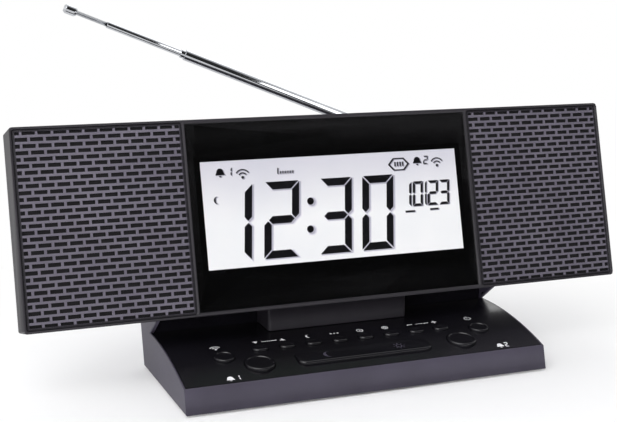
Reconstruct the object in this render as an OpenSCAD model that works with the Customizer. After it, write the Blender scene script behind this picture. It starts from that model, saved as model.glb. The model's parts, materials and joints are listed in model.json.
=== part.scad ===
// Table clock radio: a wide leaning head with a large liquid crystal display between two
// perforated speaker fronts, on a base with a curved key deck, a neck post and a telescopic antenna.
// Origin on the table under the middle of the base, X to the right, Y to the back, Z up, millimetres.

/* [Head] */
// Width of the head across both speakers
head_w = 280; // [250:1:320]
// Height of the head along its leaning face
head_h = 83.6; // [78:0.2:100]
// Thickness of the head, front to back
head_d = 20; // [19:0.5:28]
// Depth of the front cabinet, from the face to the parting line
cabinet_d = 14; // [12.5:0.5:15]
// Angle by which the head, the base's front and the back lean from upright
lean = 14.2; // [10:0.2:18]
// How far the head's lower front edge stands behind the base's front edge
head_set_back = 32.3; // [28:0.1:36]
// Height of the head's lower front edge above the table
head_lift = 31.8; // [30:0.1:40]
// Corner radius of the head's outline
head_corner_r = 1; // [0.5:0.5:4]
// Wall thickness of the mouldings
wall = 2; // [1.6:0.1:2.4]
// Gap left at the seams between fixed pieces
seam = 0.1; // [0.05:0.05:0.2]

/* [Display] */
// Width of the clear lens
lens_w = 134.2; // [128:0.2:150]
// Rim of the cabinet above and below the lens
lens_rim = 1.6; // [1.2:0.1:3]
// Thickness of the lens
lens_t = 1.2; // [1:0.1:2]
// How far the lens lies behind the cabinet's face
lens_sink = 1; // [0.4:0.1:1.6]
// Thickness of the black printed border behind the lens
mask_t = 0.2; // [0.1:0.05:0.4]
// Width of the clear window in the border
window_w = 122.5; // [100:0.5:124]
// Height of the clear window in the border
window_h = 46.4; // [38:0.2:50]
// Height of the window's lower edge above the head's lower edge
window_up = 19; // [14:0.1:22]
// How far the display glass reaches past the window on each side
glass_lap = 2; // [1:0.2:3]
// Thickness of the display glass
glass_t = 2.4; // [1.8:0.1:2.8]
// Thickness of the backlight diffuser
diffuser_t = 3.2; // [2:0.1:3.6]
// Thickness of every circuit board
board_t = 1.6; // [1:0.1:1.6]

/* [Speakers] */
// Width of the rib between the lens and each grille
rib_w = 1; // [0.8:0.1:2]
// Width of the cabinet's rim round the outside of each grille
grille_rim = 0.9; // [0.8:0.1:2]
// How far the grille lies behind the cabinet's face
grille_sink = 0.3; // [0:0.1:1]
// Depth of the air space behind the grille's face
grille_d = 2.4; // [1.8:0.1:2.8]
// Sheet thickness of the grille
sheet_t = 0.8; // [0.5:0.1:1]
// Width of the ledge that the grille's edge rests on
grille_ledge = 0.8; // [0.6:0.1:1.2]
// Spacing of the grille slots along a row
slot_step_x = 6.37; // [5:0.01:8]
// Spacing of the grille's rows
slot_step_h = 2.71; // [2.4:0.01:4]
// Web of metal left between slots
slot_web = 1.05; // [0.8:0.05:1.4]
// Gap between the driver's flange and the wall beside it
driver_gap = 2.4; // [1.5:0.1:4]
// Width of the driver's mounting flange
flange_w = 7.7; // [6.5:0.1:9]
// Depth of the driver behind the baffle, without the magnet
basket_d = 7.5; // [6.5:0.1:7.5]
// Radius of the magnet
magnet_r = 15; // [11:0.5:16]
// Thickness of the magnet
magnet_t = 4.2; // [3:0.1:4.5]

/* [Base] */
// Width of the base
base_w = 166; // [160:1:190]
// Depth of the base on the table
base_d = 70; // [66:0.5:80]
// Height of the base's front face
front_h = 10.1; // [9.5:0.1:14]
// Length of the key deck, front to back, measured straight
deck_l = 55.75; // [54:0.05:58]
// Slope of the key deck, measured straight from front to back
deck_slope = 8.5; // [7:0.1:10]
// How far the middle of the deck bulges above that straight line
deck_bulge = 2.4; // [1.5:0.1:3]
// Thickness of the glossy control panel
panel_t = 2; // [1.6:0.1:2.2]
// Rim of the housing left round the control panel
deck_rim = 0.8; // [0.6:0.1:1.2]
// Thickness of the bottom cover
cover_t = 2; // [1.8:0.1:2.2]
// Height of the rubber feet
foot_h = 1; // [0.8:0.1:2]
// Diameter of the rubber feet
foot_dia = 10; // [8:0.5:14]

/* [Neck and column] */
// Depth, behind the head's face, at which the neck's cheeks meet the head's underside
neck_d = 13; // [10:0.5:16]
// Width of the neck post
post_w = 67; // [50:1:80]
// Distance of the post's front face behind the base's front edge
post_back = 41.8; // [40:0.1:44]
// Radius of the post's upright edges
post_r = 1.5; // [1:0.5:5]
// Height of the column up the head's back
column_h = 57; // [54:1:64]

/* [Keys] */
// Travel of every key
key_travel = 0.6; // [0.3:0.1:0.7]
// Gap between a key and its hole
key_gap = 0.25; // [0.2:0.05:0.4]
// Ledge of a key under the panel, which keeps it in its hole
key_ledge = 1; // [0.6:0.1:1.2]
// Diameter of the two alarm keys
alarm_dia = 13; // [11:0.5:14]
// Distance of the alarm keys in from the base's sides
alarm_in = 35.7; // [34:0.1:37]
// Distance of the alarm keys behind the deck's front edge
alarm_l = 11.6; // [11:0.1:13]
// Diameter of the source and power keys
side_key_dia = 9; // [7:0.5:10]
// Distance of the source and power keys in from the base's sides
side_key_in = 22.7; // [21:0.1:23.5]
// Distance of the source and power keys behind the deck's front edge
side_key_l = 19.7; // [19:0.1:21]
// Length of the snooze bar
snooze_w = 61.8; // [50:0.2:64]
// Depth of the snooze bar, front to back
snooze_d = 10; // [8:0.2:10.6]
// Distance of the snooze bar's middle behind the deck's front edge
snooze_l = 11.3; // [10.8:0.1:12]
// Corner radius of the snooze bar
snooze_r = 3; // [1:0.5:4]
// Width of a small key
small_w = 7; // [6:0.1:8]
// Depth of a small key, front to back
small_d = 5; // [4:0.1:5.2]
// Spacing of the small keys
small_step = 12.3; // [11.8:0.1:12.6]
// Distance of the small keys behind the deck's front edge
small_l = 23.6; // [23.4:0.1:25]
// Height of the keys' tops above the deck
key_rise = 1; // [0.6:0.1:1.5]

/* [Battery compartment] */
// Diameter of a backup cell
cell_dia = 10.3; // [9:0.1:10.5]
// Length of a backup cell
cell_l = 44; // [40:0.5:50]
// Free space round the cells
cell_gap = 0.2; // [0.1:0.05:0.4]
// Thickness of the sliding battery door
door_t = 1.3; // [1.2:0.05:1.4]
// Running gap round the battery door
door_gap = 0.2; // [0.15:0.05:0.25]

/* [Antenna] */
// Distance of the antenna's pivot in from the column's right side
pivot_in = 11; // [10:0.5:16]
// Distance of the antenna's pivot behind the head's face
pivot_d = 33; // [32:0.5:36]
// Height of the antenna's pivot above the column's top
pivot_up = 8; // [8:0.1:14]
// Angle of the antenna above level as it stands
antenna_angle = 22.6; // [0:0.1:60]
// Diameter of the outer tube
tube_dia = 5; // [4.8:0.1:6]
// Step in diameter from one section to the next
tube_step = 1; // [0.9:0.05:1.2]
// Wall of the tubes
tube_wall = 0.35; // [0.3:0.01:0.38]
// Distance from the pivot to the mouth of the outer tube
outer_reach = 137.6; // [110:0.1:150]
// How far the second tube shows beyond the outer tube as it stands
second_out = 2; // [1:0.1:40]
// How far the third tube shows beyond the second as it stands
third_out = 35.3; // [2:0.1:60]
// How far the rod shows beyond the third tube as it stands
rod_out = 14.1; // [2:0.1:60]
// Diameter of the tip
tip_dia = 4.2; // [3:0.1:5]
// Length of the tip
tip_l = 6; // [3:0.5:8]

/* [Hidden] */
$fn = 48;
past = 1; // how far a cut runs past the surface it opens

satin = "#45434b";
gloss = "#141318";
board_green = "#1f5a3a";
bright_steel = "#b9bbbe";

// Places in the side view, as [distance back, height]
head_y = head_set_back - base_d / 2;
function leaned(d, h) = [head_y + d * cos(lean) + h * sin(lean), head_lift - d * sin(lean) + h * cos(lean)];
front_foot = [-base_d / 2, foot_h];
front_top = [-base_d / 2 + front_h * tan(lean), foot_h + front_h];
deck_end = front_top + deck_l * [cos(deck_slope), sin(deck_slope)];
rear_foot = [base_d / 2, foot_h];
function depth_of(p) = (p[0] - head_y) * cos(lean) - (p[1] - head_lift) * sin(lean);
front_plane = depth_of(front_foot);
rear_plane = depth_of(rear_foot);
rear_slope = wall / cos(lean);

// The deck bulges as an arc through its front and back edges
deck_r = (pow(deck_l / 2, 2) + pow(deck_bulge, 2)) / (2 * deck_bulge);
function deck_n(l) = deck_bulge - deck_r + sqrt(deck_r * deck_r - pow(l - deck_l / 2, 2));

// Frames: one leans with the head, one slopes with the deck
module head_frame() {
    translate([0, head_y, head_lift]) rotate([-lean, 0, 0]) children();
}
module deck_frame() {
    translate([0, front_top[0], front_top[1]]) rotate([deck_slope, 0, 0]) children();
}
// A flat shape of the head's face, taken from depth d0 to d1
module slab(d0, d1) {
    translate([0, d1, 0]) rotate([90, 0, 0]) linear_extrude(d1 - d0) children();
}
// A shape of the side view, drawn out across the width
module across(w) {
    rotate([90, 0, 90]) translate([0, 0, -w / 2]) linear_extrude(w) children();
}
// A round bar of the head frame, from depth d0 to d1
module rod_d(x, h, r, d0, d1) {
    translate([x, d1, h]) rotate([90, 0, 0]) cylinder(r = r, h = d1 - d0);
}
module rounded_rect(w, h, r) {
    square([w - 2 * r, h], center = true);
    square([w, h - 2 * r], center = true);
    for (x = [-1, 1], y = [-1, 1]) {
        translate([x * (w / 2 - r), y * (h / 2 - r)]) circle(r = r);
    }
}
module mirrored() {
    children();
    mirror([1, 0, 0]) children();
}
// A pan head screw along Z, with its head on top of z = 0
screw_r = 1.25;
screw_gap = 0.1;
screw_head_r = 2.4;
screw_head_t = 1.5;
module screw(l) {
    translate([0, 0, -l]) cylinder(r = screw_r, h = l);
    difference() {
        cylinder(r = screw_head_r, h = screw_head_t);
        for (a = [0, 90]) {
            rotate([0, 0, a]) translate([0, 0, screw_head_t]) cube([2.6, 0.6, 1.2], center = true);
        }
    }
}

// Base housing: front face, side walls with the cheeks of the neck, and the column's top
boss_r = 3.5;
boss_x = base_w / 2 - wall - boss_r + past;
cover_screw_y = [front_foot[0] + 8, rear_foot[0] - 7];
cover_top = foot_h + cover_t;
cover_boss_top = cover_top + 6;
rear_screw_h = [-6, column_h - 12.5];
rear_boss_l = 8;
inner_w = base_w - 2 * wall;
panel_w = base_w - 2 * deck_rim;

module deck_circle(r) {
    translate([deck_l / 2, deck_bulge - deck_r]) circle(r = r, $fn = 360);
}
module deck_strip(l0, l1, n0, n1) {
    translate([l0, n0]) square([l1 - l0, n1 - n0]);
}
module base_outline() {
    polygon([front_foot, front_top, deck_end, leaned(neck_d, 0), leaned(head_d, 0),
        leaned(head_d, column_h), leaned(rear_plane, column_h), rear_foot]);
    translate(front_top) rotate(deck_slope) intersection() {
        deck_circle(deck_r);
        deck_strip(0, deck_l, 0, deck_bulge + past);
    }
}
pivot_x = base_w / 2 - pivot_in;
bush_r = 5.5;
bush_d = 6;
module base_housing() {
    color(satin) difference() {
        union() {
            difference() {
                across(base_w) base_outline();
                head_frame() translate([-inner_w / 2, front_plane + wall, -head_lift * 2])
                    cube([inner_w, rear_plane - front_plane, head_lift * 2 + column_h - wall]);
            }
            mirrored() {
                for (y = cover_screw_y) {
                    translate([boss_x, y, cover_top]) cylinder(r = boss_r, h = cover_boss_top - cover_top);
                }
                head_frame() for (h = rear_screw_h) {
                    rod_d(boss_x, h, boss_r, rear_plane - wall - rear_boss_l, rear_plane - wall);
                }
            }
            head_frame() translate([pivot_x, pivot_d, column_h - bush_d])
                cylinder(r = bush_r + wall, h = bush_d);
        }
        // Seat of the control panel
        deck_frame() across(panel_w) difference() {
            intersection() {
                deck_circle(deck_r + 2 * seam);
                deck_strip(deck_rim, deck_l, -panel_t * 2, deck_bulge + past);
            }
            deck_circle(deck_r - panel_t - seam);
        }
        mirrored() {
            for (y = cover_screw_y) {
                translate([boss_x, y, cover_top - past])
                    cylinder(r = screw_r + screw_gap / 2, h = cover_boss_top - cover_top);
            }
            head_frame() for (h = rear_screw_h) {
                rod_d(boss_x, h, screw_r + screw_gap / 2, rear_plane - wall - rear_boss_l + past, rear_plane);
            }
        }
        head_frame() translate([pivot_x, pivot_d, column_h - bush_d - past])
            cylinder(r = bush_r + seam, h = bush_d + 2 * past);
    }
}

// Control panel: the glossy curved deck, with the keys' holes and the key board's pillars
small_keys = 8;
alarm_x = base_w / 2 - alarm_in;
side_key_x = base_w / 2 - side_key_in;
function small_x(i) = (i - (small_keys - 1) / 2) * small_step;
key_wall = key_gap + seam;
board_n = -6.2; // top of the key board under the deck's chord
pillar_r = 2.4;
pillars = [[side_key_x + 7.5, alarm_l - 1], [alarm_x + 5.5, small_l + 6], [0, small_l + 8],
    [-alarm_x - 5.5, small_l + 6], [-side_key_x - 7.5, alarm_l - 1]];
pillar_screw_r = 1;
panel_l1 = deck_l - panel_t * sin(deck_slope) - seam;

module oval(w, d) {
    rounded_rect(w, d, d / 2 - 0.01);
}
module key_outline(kind) {
    if (kind == "snooze") rounded_rect(snooze_w, snooze_d, snooze_r);
    if (kind == "alarm") circle(d = alarm_dia);
    if (kind == "side") circle(d = side_key_dia);
    if (kind == "small") oval(small_w, small_d);
}
module grown_outline(kind, g) {
    if (kind == "snooze") rounded_rect(snooze_w + 2 * g, snooze_d + 2 * g, snooze_r + g);
    if (kind == "alarm") circle(d = alarm_dia + 2 * g);
    if (kind == "side") circle(d = side_key_dia + 2 * g);
    if (kind == "small") oval(small_w + 2 * g, small_d + 2 * g);
}
// Every key as [kind, x, l]
snooze_spot = ["snooze", 0, snooze_l];
alarm_1_spot = ["alarm", -alarm_x, alarm_l];
alarm_2_spot = ["alarm", alarm_x, alarm_l];
source_spot = ["side", -side_key_x, side_key_l];
power_spot = ["side", side_key_x, side_key_l];
small_spots = [for (i = [0:small_keys - 1]) ["small", small_x(i), small_l]];
all_spots = concat([snooze_spot, alarm_1_spot, alarm_2_spot, source_spot, power_spot], small_spots);

module control_panel() {
    color(gloss) deck_frame() difference() {
        union() {
            across(panel_w - 2 * seam) difference() {
                intersection() {
                    deck_circle(deck_r);
                    deck_strip(deck_rim + seam, panel_l1, -panel_t * 2, deck_bulge + past);
                }
                deck_circle(deck_r - panel_t);
            }
            for (p = pillars) {
                translate([p[0], p[1], board_n])
                    cylinder(r = pillar_r, h = deck_n(p[1]) - panel_t / 2 - board_n);
            }
        }
        for (s = all_spots) {
            translate([s[1], s[2], -panel_t * 2]) linear_extrude(panel_t * 4) grown_outline(s[0], key_gap);
        }
        for (p = pillars) {
            translate([p[0], p[1], board_n - past])
                cylinder(r = pillar_screw_r + screw_gap / 2, h = 5 + past);
        }
    }
}

// A key: cap through the panel, ledge under it and a stem that stops short of its switch
switch_h = 2.5;
ledge_t = 1;
key_edge = 0.5;
stem_n = board_n + switch_h + key_travel + key_wall - key_gap;
function key_reach(kind) = (kind == "snooze" ? snooze_d : kind == "alarm" ? alarm_dia
    : kind == "side" ? side_key_dia : small_d) / 2 + key_ledge;
function ledge_n(s) = min(deck_n(s[2] - key_reach(s[0])), deck_n(s[2] + key_reach(s[0]))) - panel_t - key_gap;
function stem_xs(kind) = kind == "snooze" ? [-snooze_w / 3, snooze_w / 3] : [0];
module key(s) {
    top = deck_n(s[2]) + key_rise;
    color(gloss) deck_frame() translate([s[1], s[2], 0]) {
        translate([0, 0, ledge_n(s) - ledge_t]) linear_extrude(ledge_t) grown_outline(s[0], key_ledge);
        translate([0, 0, ledge_n(s) - ledge_t / 2]) linear_extrude(top - key_edge - ledge_n(s) + ledge_t / 2)
            key_outline(s[0]);
        translate([0, 0, top - 2 * key_edge]) linear_extrude(2 * key_edge) grown_outline(s[0], -key_edge);
        for (x = stem_xs(s[0])) {
            translate([x, 0, stem_n]) cylinder(r = 1.5, h = ledge_n(s) - ledge_t / 2 - stem_n);
        }
    }
}
module snooze_key() key(snooze_spot);
module alarm_1_key() key(alarm_1_spot);
module alarm_2_key() key(alarm_2_spot);
module source_key() key(source_spot);
module power_key() key(power_spot);

// Key board under the deck, its switches and its screws
board_edge = 4;
board_w = 2 * (pillars[0][0] + board_edge);
board_l0 = alarm_l - 6.5;
board_l1 = pillars[2][1] + board_edge;
module key_board() {
    color(board_green) deck_frame() difference() {
        translate([-board_w / 2, board_l0, board_n - board_t]) cube([board_w, board_l1 - board_l0, board_t]);
        for (p = pillars) {
            translate([p[0], p[1], board_n - board_t - past])
                cylinder(r = pillar_screw_r + screw_gap, h = board_t + 2 * past);
        }
    }
}
switch_w = 6;
module key_switches() {
    color("#26262a") deck_frame() for (s = all_spots, x = stem_xs(s[0])) {
        translate([s[1] + x, s[2], board_n]) {
            translate([-switch_w / 2, -switch_w / 2, 0]) cube([switch_w, switch_w, switch_h - 0.7]);
            cylinder(r = 1.7, h = switch_h);
        }
    }
}
module key_board_screws() {
    color(bright_steel) deck_frame() for (p = pillars) {
        translate([p[0], p[1], board_n - board_t]) {
            translate([0, 0, -1]) cylinder(r = 1.9, h = 1);
            cylinder(r = pillar_screw_r, h = board_t + 4);
        }
    }
}

// Neck: the dark wall behind the deck, and the post that carries the head
fascia_y = deck_end[0];
fascia_low = deck_end[1] - 1.5 * panel_t;
ledge_h = 1;
function depth_at(y, h) = (y - head_y - h * sin(lean)) / cos(lean);
ledge_front = leaned(depth_at(fascia_y, ledge_h), ledge_h);
ledge_back = leaned(depth_at(fascia_y + wall, ledge_h + wall), ledge_h + wall);
module neck_fascia() {
    color(gloss) across(inner_w - 2 * seam) polygon([[fascia_y, fascia_low], ledge_front,
        leaned(head_d + seam, ledge_h), leaned(head_d + seam, ledge_h + wall), ledge_back,
        [fascia_y + wall, fascia_low]]);
}
post_y = post_back - base_d / 2;
post_top = leaned(depth_at(post_y, 0), 0)[1] - seam;
head_heel = leaned(head_d, 0);
post_base = front_top[1];
module post_outline(inset) {
    polygon([[post_y + inset, post_base], [post_y + inset, post_top - inset],
        [head_heel[0], head_heel[1] - seam - inset], [fascia_y - seam, ledge_front[1] - seam - inset],
        [fascia_y - seam, post_base]]);
}
module neck_post() {
    color(satin) difference() {
        intersection() {
            across(post_w) post_outline(0);
            translate([0, 0, post_base]) linear_extrude(head_lift) {
                translate([-post_w / 2 + post_r, post_y]) square([post_w - 2 * post_r, fascia_y - post_y]);
                translate([-post_w / 2, post_y + post_r]) square([post_w, fascia_y - post_y - post_r]);
                for (x = [-1, 1]) translate([x * (post_w / 2 - post_r), post_y + post_r]) circle(r = post_r);
            }
        }
        across(post_w - 2 * wall) post_outline(wall);
        deck_frame() across(base_w) deck_circle(deck_r + seam);
    }
}

// Battery compartment, let into the bottom cover from the back
bay_wall = 1.4;
contact_t = 0.4;
bay_w = cell_l + 2 * contact_t + 2 * cell_gap;
bay_d = 2 * cell_dia + 3 * cell_gap;
bay_y1 = rear_foot[0] - 5.5;
bay_y0 = bay_y1 - bay_d;
door_lip = 3;
door_w = bay_w + 2 * door_lip;
tongue = 1.2;
lip_t = 0.5;
door_top = foot_h + door_t;
bay_floor = door_top + door_gap;
bay_top = bay_floor + cell_dia + 2 * cell_gap;
door_y0 = bay_y0 - door_lip;
module bottom_cover() {
    y0 = front_foot[0] + rear_slope + seam;
    y1 = rear_foot[0] - rear_slope - seam;
    run = cover_t * tan(lean);
    color(satin) difference() {
        union() {
            across(inner_w - 2 * seam) polygon([[y0, foot_h], [y0 + run, cover_top],
                [y1 + run, cover_top], [y1, foot_h]]);
            translate([-bay_w / 2 - bay_wall, bay_y0 - bay_wall, cover_top - past])
                cube([bay_w + 2 * bay_wall, bay_d + 2 * bay_wall, bay_top + bay_wall - cover_top + past]);
        }
        translate([-bay_w / 2, bay_y0, foot_h - past]) cube([bay_w, bay_d, bay_top - foot_h + past]);
        translate([-door_w / 2 - door_gap, door_y0 - door_gap, foot_h - past])
            cube([door_w + 2 * door_gap, base_d, door_t + door_gap + past]);
        translate([-door_w / 2 - tongue - door_gap, door_y0 - door_gap, foot_h + lip_t])
            cube([door_w + 2 * tongue + 2 * door_gap, base_d, door_t + door_gap - lip_t]);
        mirrored() for (y = cover_screw_y) {
            translate([boss_x, y, foot_h - past]) cylinder(r = screw_r + screw_gap, h = cover_t + 2 * past);
            translate([boss_x, y, foot_h - past]) cylinder(r = screw_head_r + screw_gap, h = 1.2 + past);
        }
    }
}
module battery_door() {
    grip_h = foot_h * 0.4;
    color(satin) difference() {
        union() {
            translate([-door_w / 2, door_y0, foot_h]) cube([door_w, rear_foot[0] - door_y0, door_t]);
            translate([-door_w / 2 - tongue, door_y0, foot_h + lip_t + door_gap])
                cube([door_w + 2 * tongue, bay_y1 - door_y0, door_t - lip_t - door_gap]);
            for (i = [0:3]) {
                translate([-7, bay_y1 - 2 * i, foot_h - grip_h]) cube([14, 0.8, grip_h + door_t / 2]);
            }
        }
    }
}
module backup_cells() {
    z = bay_floor + cell_gap + cell_dia / 2;
    nub = 1;
    color("#7d8790") for (i = [0, 1]) {
        translate([0, bay_y0 + cell_gap + cell_dia / 2 + i * (cell_dia + cell_gap), z])
            rotate([0, i == 0 ? 90 : -90, 0]) translate([0, 0, -cell_l / 2]) {
                cylinder(d = cell_dia, h = cell_l - nub);
                cylinder(d = 3.8, h = cell_l);
            }
    }
}
module cell_contacts() {
    lug_h = 8;
    color(bright_steel) mirrored() for (i = [0, 1]) {
        y = bay_y0 + cell_gap + i * (cell_dia + cell_gap) + 1.5;
        translate([bay_w / 2 - contact_t, y, bay_floor + 1.5]) cube([contact_t, cell_dia - 3, lug_h]);
    }
}
module bottom_screws() {
    color(bright_steel) mirrored() for (y = cover_screw_y) {
        translate([boss_x, y, foot_h + 1.2]) rotate([180, 0, 0]) {
            translate([0, 0, -4.5]) cylinder(r = screw_r, h = 4.5);
            cylinder(r = screw_head_r, h = 1);
        }
    }
}
foot_x = boss_x - boss_r - foot_dia / 2;
module rubber_feet() {
    color("#1b1b1d") mirrored() for (y = cover_screw_y) {
        translate([foot_x, y, 0]) cylinder(d = foot_dia, h = foot_h);
    }
}

// Rear panel: closes the column and the base, with vents and the sockets' holes
panel_top = column_h - wall - seam;
socket_h = 12;
board_in = 23;
board_x = base_w / 2 - board_in;
inlet_x = 16 - board_x;
audio_x = inlet_x + 20;
inlet_nose_r = 4.2;
audio_nose_r = 3.2;
vent_rows = 7;
vent_step = 4.5;
vent_w = 56;
vent_x = 20;
vent_slot = 1.8;
vent_h0 = 18;
board_front = rear_plane - wall - 12.4;
board_back = board_front + board_t;
main_h0 = 3;
main_h1 = column_h - 9;
main_screws = [[-board_x + 5, main_h0 + 5], [board_x - 5, main_h0 + 5],
    [-board_x + 5, main_h1 - 5], [board_x - 5, main_h1 - 5]];
module rear_panel() {
    plate = rear_plane - wall;
    color(satin) difference() {
        union() {
            across(inner_w - 2 * seam) polygon([rear_foot, leaned(rear_plane, panel_top),
                leaned(plate, panel_top), rear_foot - [rear_slope, 0]]);
            head_frame() for (p = main_screws) rod_d(p[0], p[1], 3, board_back, rear_plane - wall / 2);
        }
        head_frame() {
            rod_d(inlet_x, socket_h, inlet_nose_r + seam, plate - past, rear_plane + past);
            rod_d(audio_x, socket_h, audio_nose_r + seam, plate - past, rear_plane + past);
            for (i = [0:vent_rows - 1]) {
                translate([vent_x - vent_w / 2, plate - past, vent_h0 + i * vent_step])
                    cube([vent_w, wall + 2 * past, vent_slot]);
            }
            for (p = main_screws) {
                rod_d(p[0], p[1], screw_r + screw_gap / 2, board_back - past, board_back + 8);
            }
            mirrored() for (h = rear_screw_h) {
                rod_d(boss_x, h, screw_r + screw_gap, plate - past, rear_plane + past);
                rod_d(boss_x, h, screw_head_r + screw_gap, rear_plane - 1, rear_plane + past);
            }
        }
        translate([-door_w / 2 - tongue - door_gap, 0, 0])
            cube([door_w + 2 * tongue + 2 * door_gap, base_d, bay_floor]);
    }
}
module rear_screws() {
    color(bright_steel) head_frame() mirrored() for (h = rear_screw_h) {
        translate([boss_x, rear_plane - 1, h]) rotate([-90, 0, 0]) screw(7);
    }
}

// Main board in the column, with its parts, tuner can, sockets and screws
module main_board() {
    color(board_green) head_frame() difference() {
        translate([-board_x, board_front, main_h0]) cube([2 * board_x, board_t, main_h1 - main_h0]);
        for (p = main_screws) rod_d(p[0], p[1], screw_r + screw_gap, board_front - past, board_back + past);
    }
}
cap_r = 4;
cap_l = 8;
cap_step = 10;
chip = [14, 2, 14];
small_chip = [9, 1.6, 9];
plug = [18, 5, 6];
can = [24, 5, 18];
module board_parts() {
    color("#1c1c20") head_frame() {
        for (i = [0:2]) {
            rod_d(-board_x / 2 + i * cap_step, main_h1 - 3 * cap_r, cap_r, board_front - cap_l, board_front);
        }
        translate([2, board_front - chip[1], main_h0 + chip[2] / 2]) cube(chip);
        translate([-board_x / 2 - small_chip[0], board_front - small_chip[1], main_h0 + small_chip[2]])
            cube(small_chip);
        translate([cable_x + 1 - plug[0] / 2, board_front - plug[1], main_h0 + 2]) cube(plug);
    }
}
module tuner_can() {
    color(bright_steel) head_frame()
        translate([board_x - 14 - can[0], board_front - can[1], main_h1 - 10 - can[2]]) cube(can);
}
nose_end = rear_plane - 0.4;
inlet_bore_r = 2.9;
audio_bore_r = 1.8;
audio_depth = 11;
module power_inlet() {
    color("#18181b") head_frame() difference() {
        union() {
            translate([inlet_x - 5, board_back, socket_h - 5.5])
                cube([10, rear_plane - wall - seam - board_back, 11]);
            rod_d(inlet_x, socket_h, inlet_nose_r, board_back, nose_end);
        }
        difference() {
            rod_d(inlet_x, socket_h, inlet_bore_r, nose_end - 9.5, nose_end + past);
            rod_d(inlet_x, socket_h, 1, nose_end - 10, nose_end - 1.5);
        }
    }
}
module audio_socket() {
    color("#18181b") head_frame() difference() {
        union() {
            translate([audio_x - 4, board_back, socket_h - 4])
                cube([8, rear_plane - wall - seam - board_back, 8]);
            rod_d(audio_x, socket_h, audio_nose_r, board_back, nose_end);
        }
        rod_d(audio_x, socket_h, audio_bore_r, nose_end - audio_depth, nose_end + past);
    }
}
module main_board_screws() {
    color(bright_steel) head_frame() for (p = main_screws) {
        translate([p[0], board_front, p[1]]) rotate([90, 0, 0]) screw(board_t + 6);
    }
}
// Flat cable from the key board's back edge up to the main board
function deck_point(l, n) = front_top + [l * cos(deck_slope) - n * sin(deck_slope),
    l * sin(deck_slope) + n * cos(deck_slope)];
cable_t = 0.8;
cable_w = 14;
cable_x = board_x - 18;
cable_lap = 8;
cable_y = fascia_y + wall + 0.5;
cable_z = cover_top + 8;
cable_d = board_front - 0.9;
module ribbon_cable() {
    top = main_h0 + 2 - seam;
    color("#8a8c90") translate([cable_x, 0, 0]) across(cable_w) polygon([
        deck_point(board_l1 - cable_lap, board_n), deck_point(board_l1 + 2, board_n),
        [cable_y + cable_t, cable_z], leaned(cable_d, top), leaned(cable_d - cable_t, top),
        [cable_y, cable_z + cable_t], deck_point(board_l1 + 2, board_n + cable_t),
        deck_point(board_l1 - cable_lap, board_n + cable_t)]);
}

// Front cabinet: speaker recesses with their baffles, the display's recess, pillars for the screws
recess_d = grille_sink + grille_d;
baffle_d = recess_d + wall;
lens_h = head_h - 2 * lens_rim;
mid_h = head_h / 2;
grille_x0 = lens_w / 2 + seam + rib_w;
grille_x1 = head_w / 2 - grille_rim;
speaker_x = (grille_x0 + grille_x1) / 2;
grille_gap = 0.35;
grille_rim_h = 0.9;
grille_corner_r = 1.2;
glass_w = window_w + 2 * glass_lap;
glass_h = window_h + 2 * glass_lap;
window_mid = window_up + window_h / 2;
lens_back = lens_sink + lens_t;
mask_back = lens_back + mask_t;
glass_d0 = mask_back + seam;
diffuser_d0 = glass_d0 + glass_t;
display_board_d0 = diffuser_d0 + diffuser_t;
display_board_w = glass_w - 0.5;
display_board_h = glass_h + 12;
display_pillars = [for (x = [-1, 1], y = [-1, 1])
    [x * (display_board_w / 2 - 5), window_mid + y * (display_board_h / 2 - 3)]];
pillar_out = 6.5;
cabinet_pillars = [for (x = [head_w / 2 - pillar_out, grille_x0 + pillar_out],
    h = [pillar_out, head_h - pillar_out]) [x, h]];
cabinet_pillar_r = 3;
flange_r = min(grille_x1 - grille_x0, head_h - 2 * wall) / 2 - driver_gap;
cone_r = flange_r - flange_w;
driver_screw_r = flange_r - 2.5;

module front_cabinet() {
    partition_x = grille_x0 - wall / 2;
    color(satin) head_frame() difference() {
        union() {
            difference() {
                slab(0, cabinet_d) translate([0, mid_h]) rounded_rect(head_w, head_h, head_corner_r);
                slab(baffle_d, cabinet_d + past) translate([0, mid_h])
                    square([head_w - 2 * wall, head_h - 2 * wall], center = true);
            }
            mirrored() {
                translate([partition_x - wall / 2, baffle_d - past, wall / 2])
                    cube([wall, cabinet_d - baffle_d + past, head_h - wall]);
                for (p = cabinet_pillars) rod_d(p[0], p[1], cabinet_pillar_r, baffle_d - past, cabinet_d);
            }
            for (p = display_pillars) rod_d(p[0], p[1], 2.2, baffle_d - past, display_board_d0);
        }
        mirrored() {
            slab(-past, grille_sink + sheet_t) translate([speaker_x, mid_h])
                rounded_rect(grille_x1 - grille_x0, head_h - 2 * grille_rim_h, grille_corner_r);
            slab(grille_sink, recess_d) translate([speaker_x, mid_h]) square([tray_w - 2 * grille_ledge,
                tray_h - 2 * grille_ledge], center = true);
            rod_d(speaker_x, mid_h, cone_r, recess_d - past, baffle_d + past);
            for (a = [45:90:315]) {
                rod_d(speaker_x + driver_screw_r * cos(a), mid_h + driver_screw_r * sin(a),
                    pillar_screw_r + screw_gap / 2, recess_d + 0.4, baffle_d + past);
            }
            for (p = cabinet_pillars) {
                rod_d(p[0], p[1], screw_r + screw_gap / 2, baffle_d + past, cabinet_d + past);
            }
        }
        slab(-past, mask_back) translate([0, mid_h])
            square([lens_w + 2 * seam, lens_h + 2 * seam], center = true);
        slab(mask_back - past, baffle_d + past) translate([0, window_mid])
            square([glass_w + 2 * seam, glass_h + 2 * seam], center = true);
        for (p = display_pillars) {
            rod_d(p[0], p[1], pillar_screw_r + screw_gap / 2, baffle_d, display_board_d0 + past);
        }
    }
}
module display_lens() {
    color("#c8d2dc") head_frame() slab(lens_sink, lens_back) translate([0, mid_h])
        square([lens_w, lens_h], center = true);
}
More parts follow.
